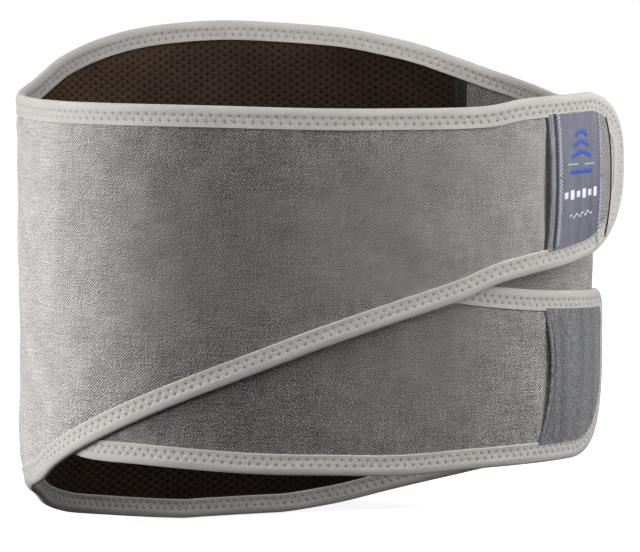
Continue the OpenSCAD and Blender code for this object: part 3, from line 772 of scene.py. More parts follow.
JOIN_A = (("back", "lower_flap"), pt_m(541, 130), pt_m(617.5, 130))
JOIN_B = (("lower_flap", "upper_flap"), pt_m(TURN - 197, 130), pt_m(TURN - 147, 130))
JOIN_C = (("back", "wing"), pt_m(232, 130, -10.6), pt_m(178, 130, -10.6))
S_A, S_B, S_C = 540.0, TURN - 213.0, 240.0        # where the pieces are cut


def attach(ob, join=None, body=None, slot=None, stands=()):
    if join is not None:
        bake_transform(ob)
    else:
        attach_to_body(ob, body)
    if stands:
        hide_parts(*stands)
    return ob


# ------------------------------------------------------------- fabric panels
def cols_for(a, b, step=2.0):
    """Column stations, closer together where the ends turn in."""
    n = max(2, int(round((b - a) / step)) + 1)
    S = np.linspace(a, b, n)
    if b > S_END - 3:
        arc = TURN + UP_SC + (38 - 1.1) * np.sin(np.linspace(0, np.pi / 2, 26))
        S = np.r_[S[S < TURN + UP_SC - 1], arc]
    if a < WING_END + 3:
        arc = WING_SC - (30 - 1.1) * np.sin(np.linspace(np.pi / 2, 0, 22))
        S = np.r_[arc, S[S > WING_SC + 1]]
    return S


def panel(name, S, top, bot, surf, mat, inner, idn, rows=88):
    v = np.linspace(0, 1, rows)
    zt, zb = top(S) - 1.1, bot(S) + 1.1
    z = zb[:, None] + (zt - zb)[:, None] * v[None, :]
    SS = np.repeat(S[:, None], rows, 1)
    V = P(SS, surf(SS, z), z)
    fab = np.stack([SS, z, np.full_like(z, idn)], -1)
    return make(name, V, grid_faces(len(S), rows, flip=inner), mat, fab)


attach(panel("wing_knit", cols_for(WING_END + 1.1, S_C), z_top, z_bot, main_outer, M_KNIT_WING_SHADED, False, 1),
       JOIN_C, None, "outer_knit", ("wing_shell", "right_seam_cord"))
attach(panel("back_knit", cols_for(S_C, S_A), z_top, z_bot, main_outer, M_KNIT, False, 1),
       None, "back", "outer_knit", ("back_shell", "side_panel_shell"))
attach(panel("side_knit", cols_for(S_A, S_B), z_top, z_bot, main_outer, M_KNIT, False, 1),
       JOIN_A, None, "outer_knit", ("yoke_shell", "left_seam_cord"))
attach(panel("upper_knit", cols_for(S_B, S_END - 1.1), z_top, z_bot, main_outer, M_KNIT, False, 1),
       JOIN_B, None, "outer_knit", ("upper_flap_shell", "fold_cord"))

attach(panel("wing_inner", cols_for(WING_END + 1.1, S_C), z_top, z_bot, main_inner, M_KNIT_IN, True, 2),
       JOIN_C, None, "inner_knit", ("wing_lining",))
attach(panel("side_inner", cols_for(S_C, 301.5), z_top, z_bot, main_inner, M_KNIT_IN, True, 2),
       None, "back", "inner_knit", ("side_panel_lining",))
attach(panel("yoke_inner", cols_for(571.5, S_B), z_top, z_bot, main_inner, M_KNIT_IN, True, 2),
       JOIN_A, None, "inner_knit", ("yoke_lining",))
attach(panel("upper_inner", cols_for(S_B, S_END - 1.1), z_top, z_bot, main_inner, M_KNIT_IN, True, 2),
       JOIN_B, None, "inner_knit", ("upper_flap_lining",))

lo_S = np.r_[np.arange(-200, LO_SC_B, 2.0), LO_SC_B + (LO_SC_T - LO_SC_B) * np.linspace(0, 1, 15)[:-1],
             LO_SC_T + (20 - 1.1) * np.sin(np.linspace(0, np.pi / 2, 16))]
attach(panel("lower_knit", lo_S, lo_top, lo_bot, lower_outer, M_KNIT_LOW_SHADED, False, 3),
       None, "lower_flap", "outer_knit", ("lower_flap_shell",))
attach(panel("lower_inner", lo_S, lo_top, lo_bot, lower_inner, M_KNIT_IN, True, 4),
       None, "lower_flap", "inner_knit", ("lower_flap_lining",))


# ---------------------------------------------------- perforated back lining
def perforated(name, a, b):
    dx, dz, r = 3.3, 3.9, 0.56
    nc = int(round((b - a) / dx))
    dx = (b - a) / nc
    outer = np.array([(-.5, -.5), (0, -.5), (.5, -.5), (.5, 0), (.5, .5), (0, .5), (-.5, .5), (-.5, 0)])
    an = np.radians([225, 270, 315, 0, 45, 90, 135, 180])
    hole = np.stack([np.cos(an), np.sin(an)], -1)
    Vp, Fp, fabs = [], [], []
    cells = []
    for c in range(nc):
        Sc = a + (c + 0.5) * dx
        lo, hi = float(z_bot(Sc)) + 3.6, float(z_top(Sc)) - 3.6
        z0 = (c % 2) * dz / 2
        ks = np.arange(math.ceil((lo - z0) / dz), math.floor((hi - z0) / dz) + 1)
        for k in ks:
            cells.append((Sc, z0 + k * dz))
    cells = np.array(cells)
    m = len(cells)
    jit = np.random.default_rng(21).normal(0, 0.05, (m, 2))
    o_pts = cells[:, None, :] + outer[None] * np.array([dx, dz])
    h_pts = cells[:, None, :] + jit[:, None, :] + hole[None] * r
    h2_pts = cells[:, None, :] + jit[:, None, :] + hole[None] * (r * 0.9)

    def place(q, depth):
        S, z = q[..., 0], q[..., 1]
        return P(S, main_inner(S, z) + depth, z)
    V = np.concatenate([place(o_pts, 0.0), place(h_pts, 0.05), place(h2_pts, 0.75)], 1)
    fab = np.concatenate([o_pts, h_pts, h2_pts], 1)
    fab = np.concatenate([fab, np.full(fab.shape[:2] + (1,), 5.0)], -1)
    i = np.arange(8)
    j = (i + 1) % 8
    F1 = np.stack([i, i + 8, j + 8, j], -1)
    F2 = np.stack([i + 8, i + 16, j + 16, j + 8], -1)
    F = np.concatenate([F1, F2])[None] + (np.arange(m) * 24)[:, None, None]
    ob = make(name, V.reshape(-1, 3), F.reshape(-1, 4), M_LINING, fab.reshape(-1, 3))
    # share the corners between neighbouring cells, so the skin shades as one
    import bmesh
    bm = bmesh.new()
    bm.from_mesh(ob.data)
    bmesh.ops.remove_doubles(bm, verts=bm.verts, dist=2e-5)
    bm.to_mesh(ob.data)
    bm.free()
    return ob


attach(perforated("lining_back", 301.0, S_A), None, "back", "perforated_lining", ("back_lining",))
attach(perforated("lining_side", S_A, 572.0), JOIN_A, None, "perforated_lining")


def behind(S, z):
    return np.minimum(main_inner(S, z) + 0.95, main_outer(S, z) - 0.25)


attach(panel("lining_foam_back", cols_for(301.0, S_A, 4), z_top, z_bot, behind, M_BEHIND, True, 6, 40),
       None, "back", "perforated_lining")
attach(panel("lining_foam_side", cols_for(S_A, 572.0, 4), z_top, z_bot, behind, M_BEHIND, True, 6, 40),
       JOIN_A, None, "perforated_lining")


# --------------------------------------------------------------- edge binding
PITCH, NPER = 4.3, 6
ROW1, ROW2 = 4.7, 7.4
d_side = np.array([0.75, 1.3, 1.9, 2.6, 3.3, 3.8, 4.2, 4.55, 4.9, 5.3, 5.8, 6.4, 6.85, 7.25, 7.6, 8.0, 8.5, 9.1, 9.6, 9.9])
d_in = np.array([0.75, 1.6, 2.6, 3.6, 4.3, 4.7, 5.2, 6.0, 6.8, 7.3, 7.8, 8.6, 9.4, 9.9])


def tape_w(S):
    """A little wider where it rounds the upper flap's end."""
    return TAPE + 2.6 * ease((np.asarray(S, float) - (TURN + 118)) / 22)


def tape_height(d, ph, L):
    """Height of the tape's face over the fabric at distance d in from the fold."""
    h = 0.66 - 0.62 * np.exp(-((d - 0.4) / 1.15) ** 1.0) + 0.22 * np.exp(-((d - 2.9) / 1.6) ** 2) - 0.10 * np.exp(-((d - 6.05) / 1.9) ** 2) + 0.05 * (d > 9)
    for row, sh in ((ROW1, 0.0), (ROW2, 0.5)):
        x = (ph - sh + 0.5) % 1.0 - 0.5
        h = h - 0.56 * np.exp(-(((d - row) / 0.72) ** 2 + (x * PITCH / 0.64) ** 2))
    # soft puckers that lean with the zigzag
    h = h + 0.07 * np.sin(2 * np.pi * (ph + (d - ROW1) / (2 * (ROW2 - ROW1)))) * np.exp(-((d - 6.0) / 2.4) ** 2)
    h = h + 0.05 * np.sin(L / 9.0 + d) + 0.05 * np.sin(L / 23.0)
    return h


def resample(path, h):
    seg = np.hypot(*np.diff(path, axis=0).T)
    keep = np.r_[True, seg > 1e-6]
    path = path[keep]
    L = np.r_[0, np.cumsum(np.hypot(*np.diff(path, axis=0).T))]
    n = int(round(L[-1] / h))
    q = np.linspace(0, L[-1], n + 1)
    return np.stack([np.interp(q, L, path[:, 0]), np.interp(q, L, path[:, 1])], -1), q


def tape_stations(path, base):
    """Stations along an outline [(S, z)]: fabric lies to the right of travel."""
    q, L = resample(path, PITCH / NPER)
    k = 4
    pad = np.concatenate([q[:1] + (q[:1] - q[1:k + 1][::-1]), q, q[-1:] + (q[-1:] - q[-k - 1:-1][::-1])])
    t = pad[2 * k:] - pad[:-2 * k]
    t /= np.linalg.norm(t, axis=1, keepdims=True)
    v = np.stack([t[:, 1], -t[:, 0]], -1)
    return q, v, L, base


def tape_mesh(st, i0, i1, idn):
    """Vertices and faces of the folded tape between two stations, and its zigzag thread."""
    q, v, L, base = st
    sl = slice(i0, i1 + 1)
    q, v, L = q[sl], v[sl], L[sl]
    ph = L / PITCH

    wide = tape_w(q[:, 0:1]) if idn == 1 else TAPE

    def at(d, o):
        d = d * np.where(d > 8.4, 1 + (wide / TAPE - 1) * ease((d - 8.4) / 1.6), 1.0)
        S = q[:, 0:1] + v[:, 0:1] * d
        z = q[:, 1:2] + v[:, 1:2] * d
        return P(S, base(S, z) + o, z)
    n = len(q)
    D = np.repeat(d_side[None], n, 0)
    wob = 0.12 * np.sin(L / 17.0 + idn)[:, None] * (d_side > 9)[None]
    out_h = tape_height(D, ph[:, None], L[:, None])
    Di = np.repeat(d_in[None], n, 0)
    in_h = tape_height(Di, ph[:, None], L[:, None] + 40)
    prof_d, prof_o = [], []
    prof_d.append(np.full((n, 1), TAPE)), prof_o.append(np.full((n, 1), -0.25))
    prof_d.append(np.full((n, 1), TAPE + 0.06)), prof_o.append(out_h[:, -1:] - 0.22)
    prof_d.append((D + wob)[:, ::-1]), prof_o.append(out_h[:, ::-1])
    nose = np.array([(0.50, 0.02), (0.16, -0.42), (0.0, -0.95), (-0.04, -PANEL / 2), (0.0, -PANEL + 0.95), (0.16, -PANEL + 0.42), (0.50, -PANEL - 0.02)])
    prof_d.append(np.repeat(nose[None, :, 0], n, 0)), prof_o.append(np.repeat(nose[None, :, 1], n, 0))
    prof_d.append(Di), prof_o.append(-PANEL - in_h)
    prof_d.append(np.full((n, 1), TAPE + 0.06)), prof_o.append(-PANEL - in_h[:, -1:] + 0.22)
    prof_d.append(np.full((n, 1), TAPE)), prof_o.append(np.full((n, 1), -PANEL + 0.25))
    d, o = np.concatenate(prof_d, 1), np.concatenate(prof_o, 1)
    V = at(d, o)
    shift = np.where(np.arange(d.shape[1]) > len(d_side) + 5, 40.0, 0.0)[None]
    fab = np.stack([np.repeat(L[:, None], d.shape[1], 1) + 0 * shift, d, np.full(d.shape, idn)], -1)
    parts = [(V, grid_faces(n, d.shape[1], flip=True), fab, 0)]
    # zigzag thread, both faces
    k0, k1 = math.ceil(ph[0] * 2 - 1e-6), math.floor(ph[-1] * 2 + 1e-6)
    ks = np.arange(k0, k1)
    if len(ks):
        t = np.linspace(0, 1, 6)
        pa = (ks[:, None] + t[None]) / 2.0
        even = (ks % 2 == 0)[:, None]
        dd = np.where(even, ROW1 + (ROW2 - ROW1) * t, ROW2 + (ROW1 - ROW2) * t)
        LL = pa * PITCH
        qs, qz = np.interp(LL, L, q[:, 0]), np.interp(LL, L, q[:, 1])
        vs, vz = np.interp(LL, L, v[:, 0]), np.interp(LL, L, v[:, 1])
        S, z = qs + vs * dd, qz + vz * dd
        arch = 0.09 * np.sin(np.pi * t)[None] - 0.07
        for side in (1, -1):
            hh = tape_height(dd, pa, LL + (0 if side > 0 else 40)) + arch
            o2 = hh if side > 0 else -PANEL - hh
            path = P(S, base(S, z) + o2, z)
            rad = 0.11 + 0.04 * np.sin(np.pi * t)[None] + 0 * ks[:, None]
            TV, TF, tf = tubes(path, N(S) * side, rad, 6)
            parts.append((TV, TF, tf, 1))
    return parts


def arc(sc, r, th0, th1, n=40):
    return sc + r * np.sin(np.radians(np.linspace(th0, th1, n)))


wt, wb = float(z_top(WING_END)), float(z_bot(WING_END))
ut, ub = float(z_top(S_END)), float(z_bot(S_END))
Sa = WING_SC - 30 * np.sin(np.radians(np.linspace(90, 0, 50)))
Sm = np.arange(WING_SC, TURN + UP_SC, 1.0)
Se = TURN + arc(UP_SC, 38, 0, 90, 60)
main_path = np.concatenate([
    np.stack([np.full(30, WING_END), np.linspace((wt + wb) / 2, wt, 30)], -1),
    np.stack([Sa, z_top(Sa)], -1), np.stack([Sm, z_top(Sm)], -1), np.stack([Se, z_top(Se)], -1),
    np.stack([np.full(6, S_END), np.linspace(ut, ub, 6)], -1),
    np.stack([Se[::-1], z_bot(Se[::-1])], -1), np.stack([Sm[::-1], z_bot(Sm[::-1])], -1),
    np.stack([Sa[::-1], z_bot(Sa[::-1])], -1),
    np.stack([np.full(30, WING_END), np.linspace(wb, (wt + wb) / 2, 30)], -1)])
main_st = tape_stations(main_path, base_o)
mq = main_st[0]
half = int(np.argmax(mq[:, 0]))
top_i = lambda S: int(np.searchsorted(mq[:half, 0], S))
bot_i = lambda S: half + int(np.searchsorted(-mq[half:, 0], -S))
iC1, iA1, iB1 = top_i(S_C), top_i(S_A), top_i(S_B)
iB2, iA2, iC2 = bot_i(S_B), bot_i(S_A), bot_i(S_C)
last = len(mq) - 1


def tape_object(name, st, ranges, idn, **kw):
    parts = []
    for a, b in ranges:
        parts += tape_mesh(st, a, b, idn)
    V, F, fab, mi = merge(parts)
    return attach(make(name, V, F, [M_TAPE, M_THREAD], fab, mi), slot="edge_binding", **kw)


tape_object("tape_wing", main_st, [(0, iC1), (iC2, last)], 1, join=JOIN_C, stands=("wing_binding",))
tape_object("tape_back_top", main_st, [(iC1, iA1)], 1, body="back", stands=("back_top_binding",))
tape_object("tape_back_bottom", main_st, [(iA2, iC2)], 1, body="back", stands=("back_bottom_binding",))
tape_object("tape_side", main_st, [(iA1, iB1), (iB2, iA2)], 1, join=JOIN_A, stands=("yoke_top_binding", "yoke_bottom_binding"))
tape_object("tape_upper", main_st, [(iB1, iB2)], 1, join=JOIN_B, stands=("upper_flap_binding",))

lt, lb = float(lo_top(LO_END)), float(lo_bot(LO_END))
s1 = np.arange(-174.0, LO_SC_T, 1.0)
s2 = arc(LO_SC_T, 20, 0, 90, 50)
s3 = arc(LO_SC_B, 48, 90, 0, 70)
s4 = np.arange(LO_SC_B, -174.5, -1.0)
low_path = np.concatenate([
    np.stack([s1, lo_top(s1)], -1), np.stack([s2, lo_top(s2)], -1),
    np.stack([np.full(5, LO_END), np.linspace(lt, lb, 5)], -1),
    np.stack([s3, lo_bot(s3)], -1), np.stack([s4, lo_bot(s4)], -1)])
low_st = tape_stations(low_path, lambda s, z: lo_off(s))
tape_object("tape_lower", low_st, [(0, len(low_st[0]) - 1)], 2, body="lower_flap", stands=("lower_flap_binding",))


# ----------------------------------------------------- seams and stay pockets
def stitch_line(S, z0, z1, surf, pitch=3.2, length=2.1, r=0.16, side=1):
    zs = np.arange(z0, z1 - length, pitch)
    t = np.linspace(0, 1, 5)
    z = zs[:, None] + t[None] * length
    SS = np.full_like(z, S)
    o = surf(SS, z) + side * (0.16 * np.sin(np.pi * t)[None] - 0.02)
    return tubes(P(SS, o, z), N(SS) * side, r, 5)


def strip(S0, S1, zlo, zhi, surf, mat_i, idn, n=13, rows=90, flip=False):
    """Raised strip between S0 and S1 with end heights given per column."""
    S = np.linspace(S0, S1, n)
    zl, zh = zlo(S), zhi(S)
    v = np.linspace(0, 1, rows)
    z = zl[:, None] + (zh - zl)[:, None] * v[None]
    SS = np.repeat(S[:, None], rows, 1)
    V = P(SS, surf(SS, z), z)
    fab = np.stack([SS, z, np.full_like(z, idn)], -1)
    return V, grid_faces(n, rows, flip=flip), fab, mat_i


BACK_S = 415.7
for k, Sk in enumerate((BACK_S - 84, BACK_S - 36, BACK_S + 36, BACK_S + 84)):
    def pocket_o(S, z, Sk=Sk):
        ds = np.abs(S - Sk)
        zl, zh = z_bot(S) + 9.2, z_top(S) - 9.2
        end = ease((z - zl) / 4.5) * ease((zh - z) / 4.5)
        rim = ease((12.2 - ds) / 0.5)
        bulge = ease((10.2 - ds) / 3.6)
        wr = 0.10 * pucker(S * 0.6, z) * ease((ds - 6) / 3) * ease((12.2 - ds) / 2)
        return (-0.25 + rim * 0.95 + bulge * (0.35 + 2.35 * end) + wr + 0.12 * broad_out(S, z) * end
                + swell_out(S, z))
    parts = [strip(Sk - 12.2, Sk + 12.2, lambda S: z_bot(S) + 8.6, lambda S: z_top(S) - 8.6, pocket_o, 0, 7 + k, 41, 110)]
    z0, z1 = float(z_bot(Sk)) + 11, float(z_top(Sk)) - 11
    for ds in (-10.9, 10.9):
        TV, TF, tf = stitch_line(Sk + ds, z0 + 1.5, z1 - 1.5, pocket_o, 3.0, 2.0)
        parts.append((TV, TF, tf, 1))
    V, F, fab, mi = merge(parts)
    attach(make(f"pocket_{k + 1}", V, F, [M_KNIT, M_THREAD], fab, mi), None, "back", "outer_knit", (f"stay_pocket_{k + 1}",))


def seam_o(S0):
    def f(S, z):
        ds = np.abs(S - S0)
        return base_o(S, z) - 0.2 + 0.75 * ease((4.2 - ds) / 0.9) + 0.05 * pucker(S, z) + swell_out(S, z)
    return f


for nm, S0, join in (("seam_left", 573.4, JOIN_A), ("seam_right", 205.0, JOIN_C)):
    so = seam_o(S0)
    parts = [strip(S0 - 4.2, S0 + 4.2, lambda S: z_bot(S) + 8.8, lambda S: z_top(S) - 8.8, so, 0, 12, 17, 100)]
    for ds in (-2.4, 2.4):
        TV, TF, tf = stitch_line(S0 + ds, float(z_bot(S0)) + 11.5, float(z_top(S0)) - 11.5, so)
        parts.append((TV, TF, tf, 1))
    V, F, fab, mi = merge(parts)
    attach(make(nm, V, F, [M_KNIT, M_THREAD], fab, mi), join, None, "seam_cord")


def lining_tape_o(S, z):
    ds = np.abs(S - 299.9)
    return main_inner(S, z) - 0.55 * ease((3.6 - ds) / 0.7) + 0.12 - 0.05 * pucker(S, z)


parts = [strip(296.3, 303.5, lambda S: z_bot(S) + 8.8, lambda S: z_top(S) - 8.8, lining_tape_o, 0, 13, 19, 110, True)]
for ds in (-2.2, 2.2):
    TV, TF, tf = stitch_line(299.9 + ds, float(z_bot(300.9)) + 11.5, float(z_top(300.9)) - 11.5, lining_tape_o, side=-1)
    parts.append((TV, TF, tf, 1))
V, F, fab, mi = merge(parts)
attach(make("lining_edge_tape", V, F, [M_DARKTAPE, M_DARKTHREAD], fab, mi), None, "back", "seam_cord", ("lining_seam_tape",))

# a row of stitches where the lower flap's root is sewn to the inside of the yoke
parts = []
for S0 in (-197.5, -193.5):
    TV, TF, tf = stitch_line(S0, float(lo_bot(S0)) + 3, float(lo_top(S0)) - 3, lower_inner, side=-1)
    parts.append((TV, TF, tf, 0))
V, F, fab, mi = merge(parts)
attach(make("root_stitches", V, F, [M_THREAD], fab, mi), None, "lower_flap", "edge_binding")

# ----------------------------------------------- hand strap, label and pocket
_reach = np.linspace(-10.2, 10.2, 41)


def border(fn, S, end, up):
    """Height of the binding's inner border at S: up is +1 for the bottom edge."""
    S = np.asarray(S, float)[..., None]
    q = np.minimum(S + _reach, end - 1e-6)
    h = np.sqrt(10.3**2 - (q - S) ** 2)
    z = fn(q) + up * h
    return z.max(-1) if up > 0 else z.min(-1)


U0, U1, UM = TURN + 84.0, TURN + 138.4, 187.0
up_lo = lambda S: border(z_bot, S, S_END, 1)
up_hi = lambda S: border(z_top, S, S_END, -1)
lo_lo = lambda S: border(lo_bot, S, LO_END, 1)
lo_hi = lambda S: border(lo_top, S, LO_END, -1)


def hump(z, a, b):
    t = np.clip((z - a) / (b - a), 0, 1)
    return (1 - (2 * t - 1) ** 2) ** 0.85


def strap_o(S, z):
    g = hump(z, up_lo(S), up_hi(S))
    left = np.exp(-np.maximum(S - U0, 0) / 9.0)
    right = ease((TURN + 134 - S) / 14)
    return 0.75 + (0.9 + 0.7 * left) * g * (0.35 + 0.65 * right)


def band(name, left, right, z_lo, z_hi, zm, surf, thick, mat, idn, upper, nc=40, nr=34, tuck=1.6):
    """One half of a band sewn down at one end and free at both sides: closed, with rolled edges."""
    u = np.linspace(0, 1, nc)
    S0 = 0.5 * (left(zm) + right(zm))
    v = np.linspace(0, 1, nr)

    def S_of(z):
        return left(z) + (right(z) - left(z)) * u[:, None]
    a0 = np.full((nc, nr), zm)
    for _ in range(4):                       # heights follow the border at each column
        S = S_of(a0)
        e = (z_hi(S) + tuck) if upper else (z_lo(S) - tuck)
        lo_, hi_ = (zm, e) if upper else (e, zm)
        a0 = lo_ + (hi_ - lo_) * v[None]
    z = a0
    S = S_of(z)
    so = surf(S, z)
    Vo, Vi = P(S, so, z), P(S, so - thick, z)
    fab = np.stack([S, z, np.full_like(z, idn)], -1)
    # rolled sides
    parts = [(Vo, grid_faces(nc, nr), fab, 0), (Vi, grid_faces(nc, nr, flip=True), fab, 0)]
    for c, sg in ((0, -1), (nc - 1, 1)):
        an = np.linspace(np.pi / 2, -np.pi / 2, 7)
        Sx = S[c][None] + sg * 0.5 * thick * np.cos(an)[:, None]
        ox = so[c][None] - thick / 2 + thick / 2 * np.sin(an)[:, None]
        W = P(Sx, ox, np.repeat(z[c][None], 7, 0))
        fb = np.stack([Sx, np.repeat(z[c][None], 7, 0), np.full_like(Sx, idn)], -1)
        parts.append((W, grid_faces(7, nr, flip=(sg < 0)), fb, 0))
    return parts


def strap_left(z):
    return U0 + 0.9 * hump(np.asarray(z, float), 155.0, 216.0)


def strap_right(z):
    return TURN + 132.4 - 6.0 * np.abs((np.asarray(z, float) - 186.0) / 31.0) ** 2.6


STRAP_LO = (("upper_flap", "hand_strap"), pt_m(TURN + 110, 162), pt_m(TURN + 110, UM))
STRAP_HI = (("upper_flap", "hand_strap"), pt_m(TURN + 110, 211), pt_m(TURN + 110, UM))


def navy_line(upper):
    z = np.linspace(UM, 217.5, 40) if upper else np.linspace(153.0, UM, 40)
    S = strap_left(z) + 3.4
    path = P(S, strap_o(S, z) + 0.10, z)[None]
    return tubes(path, N(S)[None], 0.34, 8)


def zig(S_of, upper, surf, pitch=2.0, amp=1.5, lift=0.62, r=0.15, z0=153.4, z1=217.6, zm=UM):
    za, zb = (zm, z1) if upper else (z0, zm)
    ks = np.arange(math.ceil(za / (pitch / 2)), math.floor(zb / (pitch / 2)))
    t = np.linspace(0, 1, 5)
    z = (ks[:, None] + t[None]) * pitch / 2
    sgn = np.where(ks % 2 == 0, 1.0, -1.0)[:, None]
    S = S_of(z) + sgn * amp * (t[None] - 0.5)
    o = surf(S, z) + lift + 0.12 * np.sin(np.pi * t)[None] - 0.1
    return tubes(P(S, o, z), N(S), r, 5)


def label_left(z):
    return strap_left(z) + 4.4


def label_right(z):
    return strap_left(z) + 4.4 + 33.4


def label_o(S, z):
    return strap_o(S, z) + 0.45


for upper, join, tag in ((False, STRAP_LO, "low"), (True, STRAP_HI, "high")):
    parts = band("s", strap_left, strap_right, up_lo, up_hi, UM, strap_o, 1.1, M_KNIT_STRAP_SHADED, 20, upper)
    TV, TF, tf = navy_line(upper)
    parts.append((TV, TF, tf, 1))
    # stitches beside the dark edge line
    TV, TF, tf = zig(lambda z: strap_left(z) + 1.7, upper, strap_o, 2.4, 0.5, 0.05, 0.11)
    parts.append((TV, TF, tf, 2))
    # painted shadow: black strips under both open edges stand in for the shadowed gap beneath the strap
    for Se_, w_ in ((strap_left, -1.1), (strap_right, 0.9)):
        za, zb = (UM, None) if upper else (None, UM)
        zz = np.linspace(UM, 220.0, 40) if upper else np.linspace(150.0, UM, 40)
        zz = np.clip(zz, up_lo(Se_(zz)) - 0.8, up_hi(Se_(zz)) + 0.8)
        cc = np.linspace(-1.0, 1.0, 5)[:, None]
        SS = Se_(zz)[None] + w_ * 0.5 + cc * (abs(w_) * 0.5 + 0.6)
        oo = strap_o(SS, zz[None] + 0 * SS) - 0.30 - 0.30 * cc**2
        Z_ = zz[None] + 0 * SS
        parts.append((P(SS, oo, Z_), grid_faces(5, 40), np.stack([SS, Z_, Z_ * 0], -1), 3))
    # painted shadow: a black cord along the strap's right edge stands in for the dark gap there
    zz = np.linspace(UM, 214.5, 40) if upper else np.linspace(156.5, UM, 40)
    Sr = strap_right(zz) + 0.1
    TV, TF, tf = tubes(P(Sr, strap_o(Sr, zz) + 0.12, zz)[None], N(Sr)[None], 0.42, 8)
    parts.append((TV, TF, tf, 3))
    V, F, fab, mi = merge(parts)
    attach(make("strap_" + tag, V, F, [M_KNIT_STRAP_SHADED, M_NAVY, M_LABEL_THREAD, M_GAP_SHADOW], fab, mi), join, None, "outer_knit",
           ("hand_strap",) if not upper else ())
    parts = band("l", label_left, label_right, up_lo, up_hi, UM, label_o, 0.4, M_LABEL, 21, upper, 30, 34, 1.2)
    for f_ in (lambda z: label_left(z) + 1.3, lambda z: label_right(z) - 1.3):
        TV, TF, tf = zig(f_, upper, label_o, 1.9, 1.9, 0.16, 0.25)
        parts.append((TV, TF, tf, 1))
    V, F, fab, mi = merge(parts)
    attach(make("label_" + tag, V, F, [M_LABEL, M_LABEL_THREAD], fab, mi), join, None, "label_satin",
           ("woven_label",) if not upper else ())


# generic woven motif: three stacked chevrons and plain bars, no lettering
def bar(Sc, zc, w, h, slant=0.0, n=9, m=7, lift=0.14):
    """A thin woven patch with rounded corners lying on the label."""
    a = np.linspace(-1, 1, n)
    b = np.linspace(-1, 1, m)
    A, B = np.meshgrid(a, b, indexing="ij")
    r = 0.18
    S = Sc + A * w / 2 * (1 - 0.04 * B**4)
    z = zc + B * h / 2 * (1 - 0.04 * A**4) + slant * A * w / 2
    edge = np.minimum(1 - np.abs(A), 1 - np.abs(B))
    o = label_o(S, z) + np.where(edge < 1e-6, -0.05, lift) + r * 0
    fab = np.stack([S, z, np.full_like(z, 22)], -1)
    return P(S, o, z), grid_faces(n, m), fab


def chevron(Sc, zc, w, h, rise, n=15, m=5, lift=0.16):
    a = np.linspace(-1, 1, n)
    b = np.linspace(-1, 1, m)
    A, B = np.meshgrid(a, b, indexing="ij")
    S = Sc + A * w / 2
    z = zc + B * h / 2 + rise * (1 - np.abs(A) ** 1.4)
    edge = np.minimum(1 - np.abs(A), 1 - np.abs(B))
    o = label_o(S, z) + np.where(edge < 1e-6, -0.05, lift)
    fab = np.stack([S, z, np.full_like(z, 23)], -1)
    return P(S, o, z), grid_faces(n, m), fab


LC = TURN + 84 + 0.9 + 4.4 + 16.4
up_parts, low_parts = [], []
for zc, w in ((207.5, 9.5), (202.5, 12.5), (197.5, 15.5)):
    V_, F_, f_ = chevron(LC, zc - 1.2, w, 2.5, 2.6)
    up_parts.append((V_, F_, f_, 0))
for dx in (-6.2, 6.2):
    V_, F_, f_ = bar(LC + dx, 192.9, 8.4, 0.8, 0.02)
    up_parts.append((V_, F_, f_, 1))
V_, F_, f_ = bar(LC, 189.4, 17.5, 2.2, 0.03, 17)
up_parts.append((V_, F_, f_, 0))
for k in range(6):
    V_, F_, f_ = bar(LC - 11.0 + 4.4 * k, 178.6 + 0.06 * 4.4 * (k - 2.5), 2.9, 5.0 if k % 2 else 3.4, 0.06)
    low_parts.append((V_, F_, f_, 2))
# a plain wavy woven line under the bars
tt = np.linspace(0, 1, 60)
Sw = LC - 8.5 + 17 * tt
zw = 168.6 + 2.2 * (tt - 0.5) + 0.9 * np.sin(2 * np.pi * 4 * tt)
TV, TF, tf = tubes(P(Sw, label_o(Sw, zw) + 0.08, zw)[None], N(Sw)[None], 0.26, 6)
low_parts.append((TV, TF, tf, 2))
for parts, join, tag in ((low_parts, STRAP_LO, "low"), (up_parts, STRAP_HI, "high")):
    V, F, fab, mi = merge(parts)
    attach(make("motif_" + tag, V, F, [M_BLUE, M_CYAN, M_WHITE], fab, mi), join, None, "label_satin")

PM = 92.0
pocket_edge = [[56, 82.3], [60, 83.8], [68, 86.7], [84, 90.0], [103, 90.6], [122, 87.9], [128, 87.2]]
LOW_LO = (("lower_flap", "finger_pocket"), pt_m(115, 64, -4), pt_m(115, PM, -4))
LOW_HI = (("lower_flap", "finger_pocket"), pt_m(115, 117, -4), pt_m(115, PM, -4))


def pocket_left(z):
    return joined(pocket_edge, z)


def pocket_right(z):
    return 143.5 + 0 * np.asarray(z, float)


def fpocket_o(S, z):
    g = hump(z, lo_lo(S), lo_hi(S))
    left = np.exp(-np.maximum(S - pocket_left(z), 0) / 8.0)
    right = ease((143 - S) / 22)
    return -STEP + 0.85 + (1.1 + 0.6 * left) * g * (0.1 + 0.9 * right) + 0.12 * soft_lining(S * 0.6, z * 0.3) * g


for upper, join, tag in ((False, LOW_LO, "low"), (True, LOW_HI, "high")):
    parts = band("p", pocket_left, pocket_right, lo_lo, lo_hi, PM, fpocket_o, 1.0, M_POCKET, 24, upper, 46, 34, 1.6)
    # a hem row of fine stitches beside the open edge
    TV, TF, tf = zig(lambda z: pocket_left(z) + 2.2, upper, fpocket_o, 2.6, 0.3, 0.08, 0.13, 62.0, 119.0, PM)
    parts.append((TV, TF, tf, 1))
    V, F, fab, mi = merge(parts)
    attach(make("pocket_" + tag, V, F, [M_POCKET, M_NAVY], fab, mi), join, None, "pocket_elastic",
           ("finger_pocket",) if not upper else ())


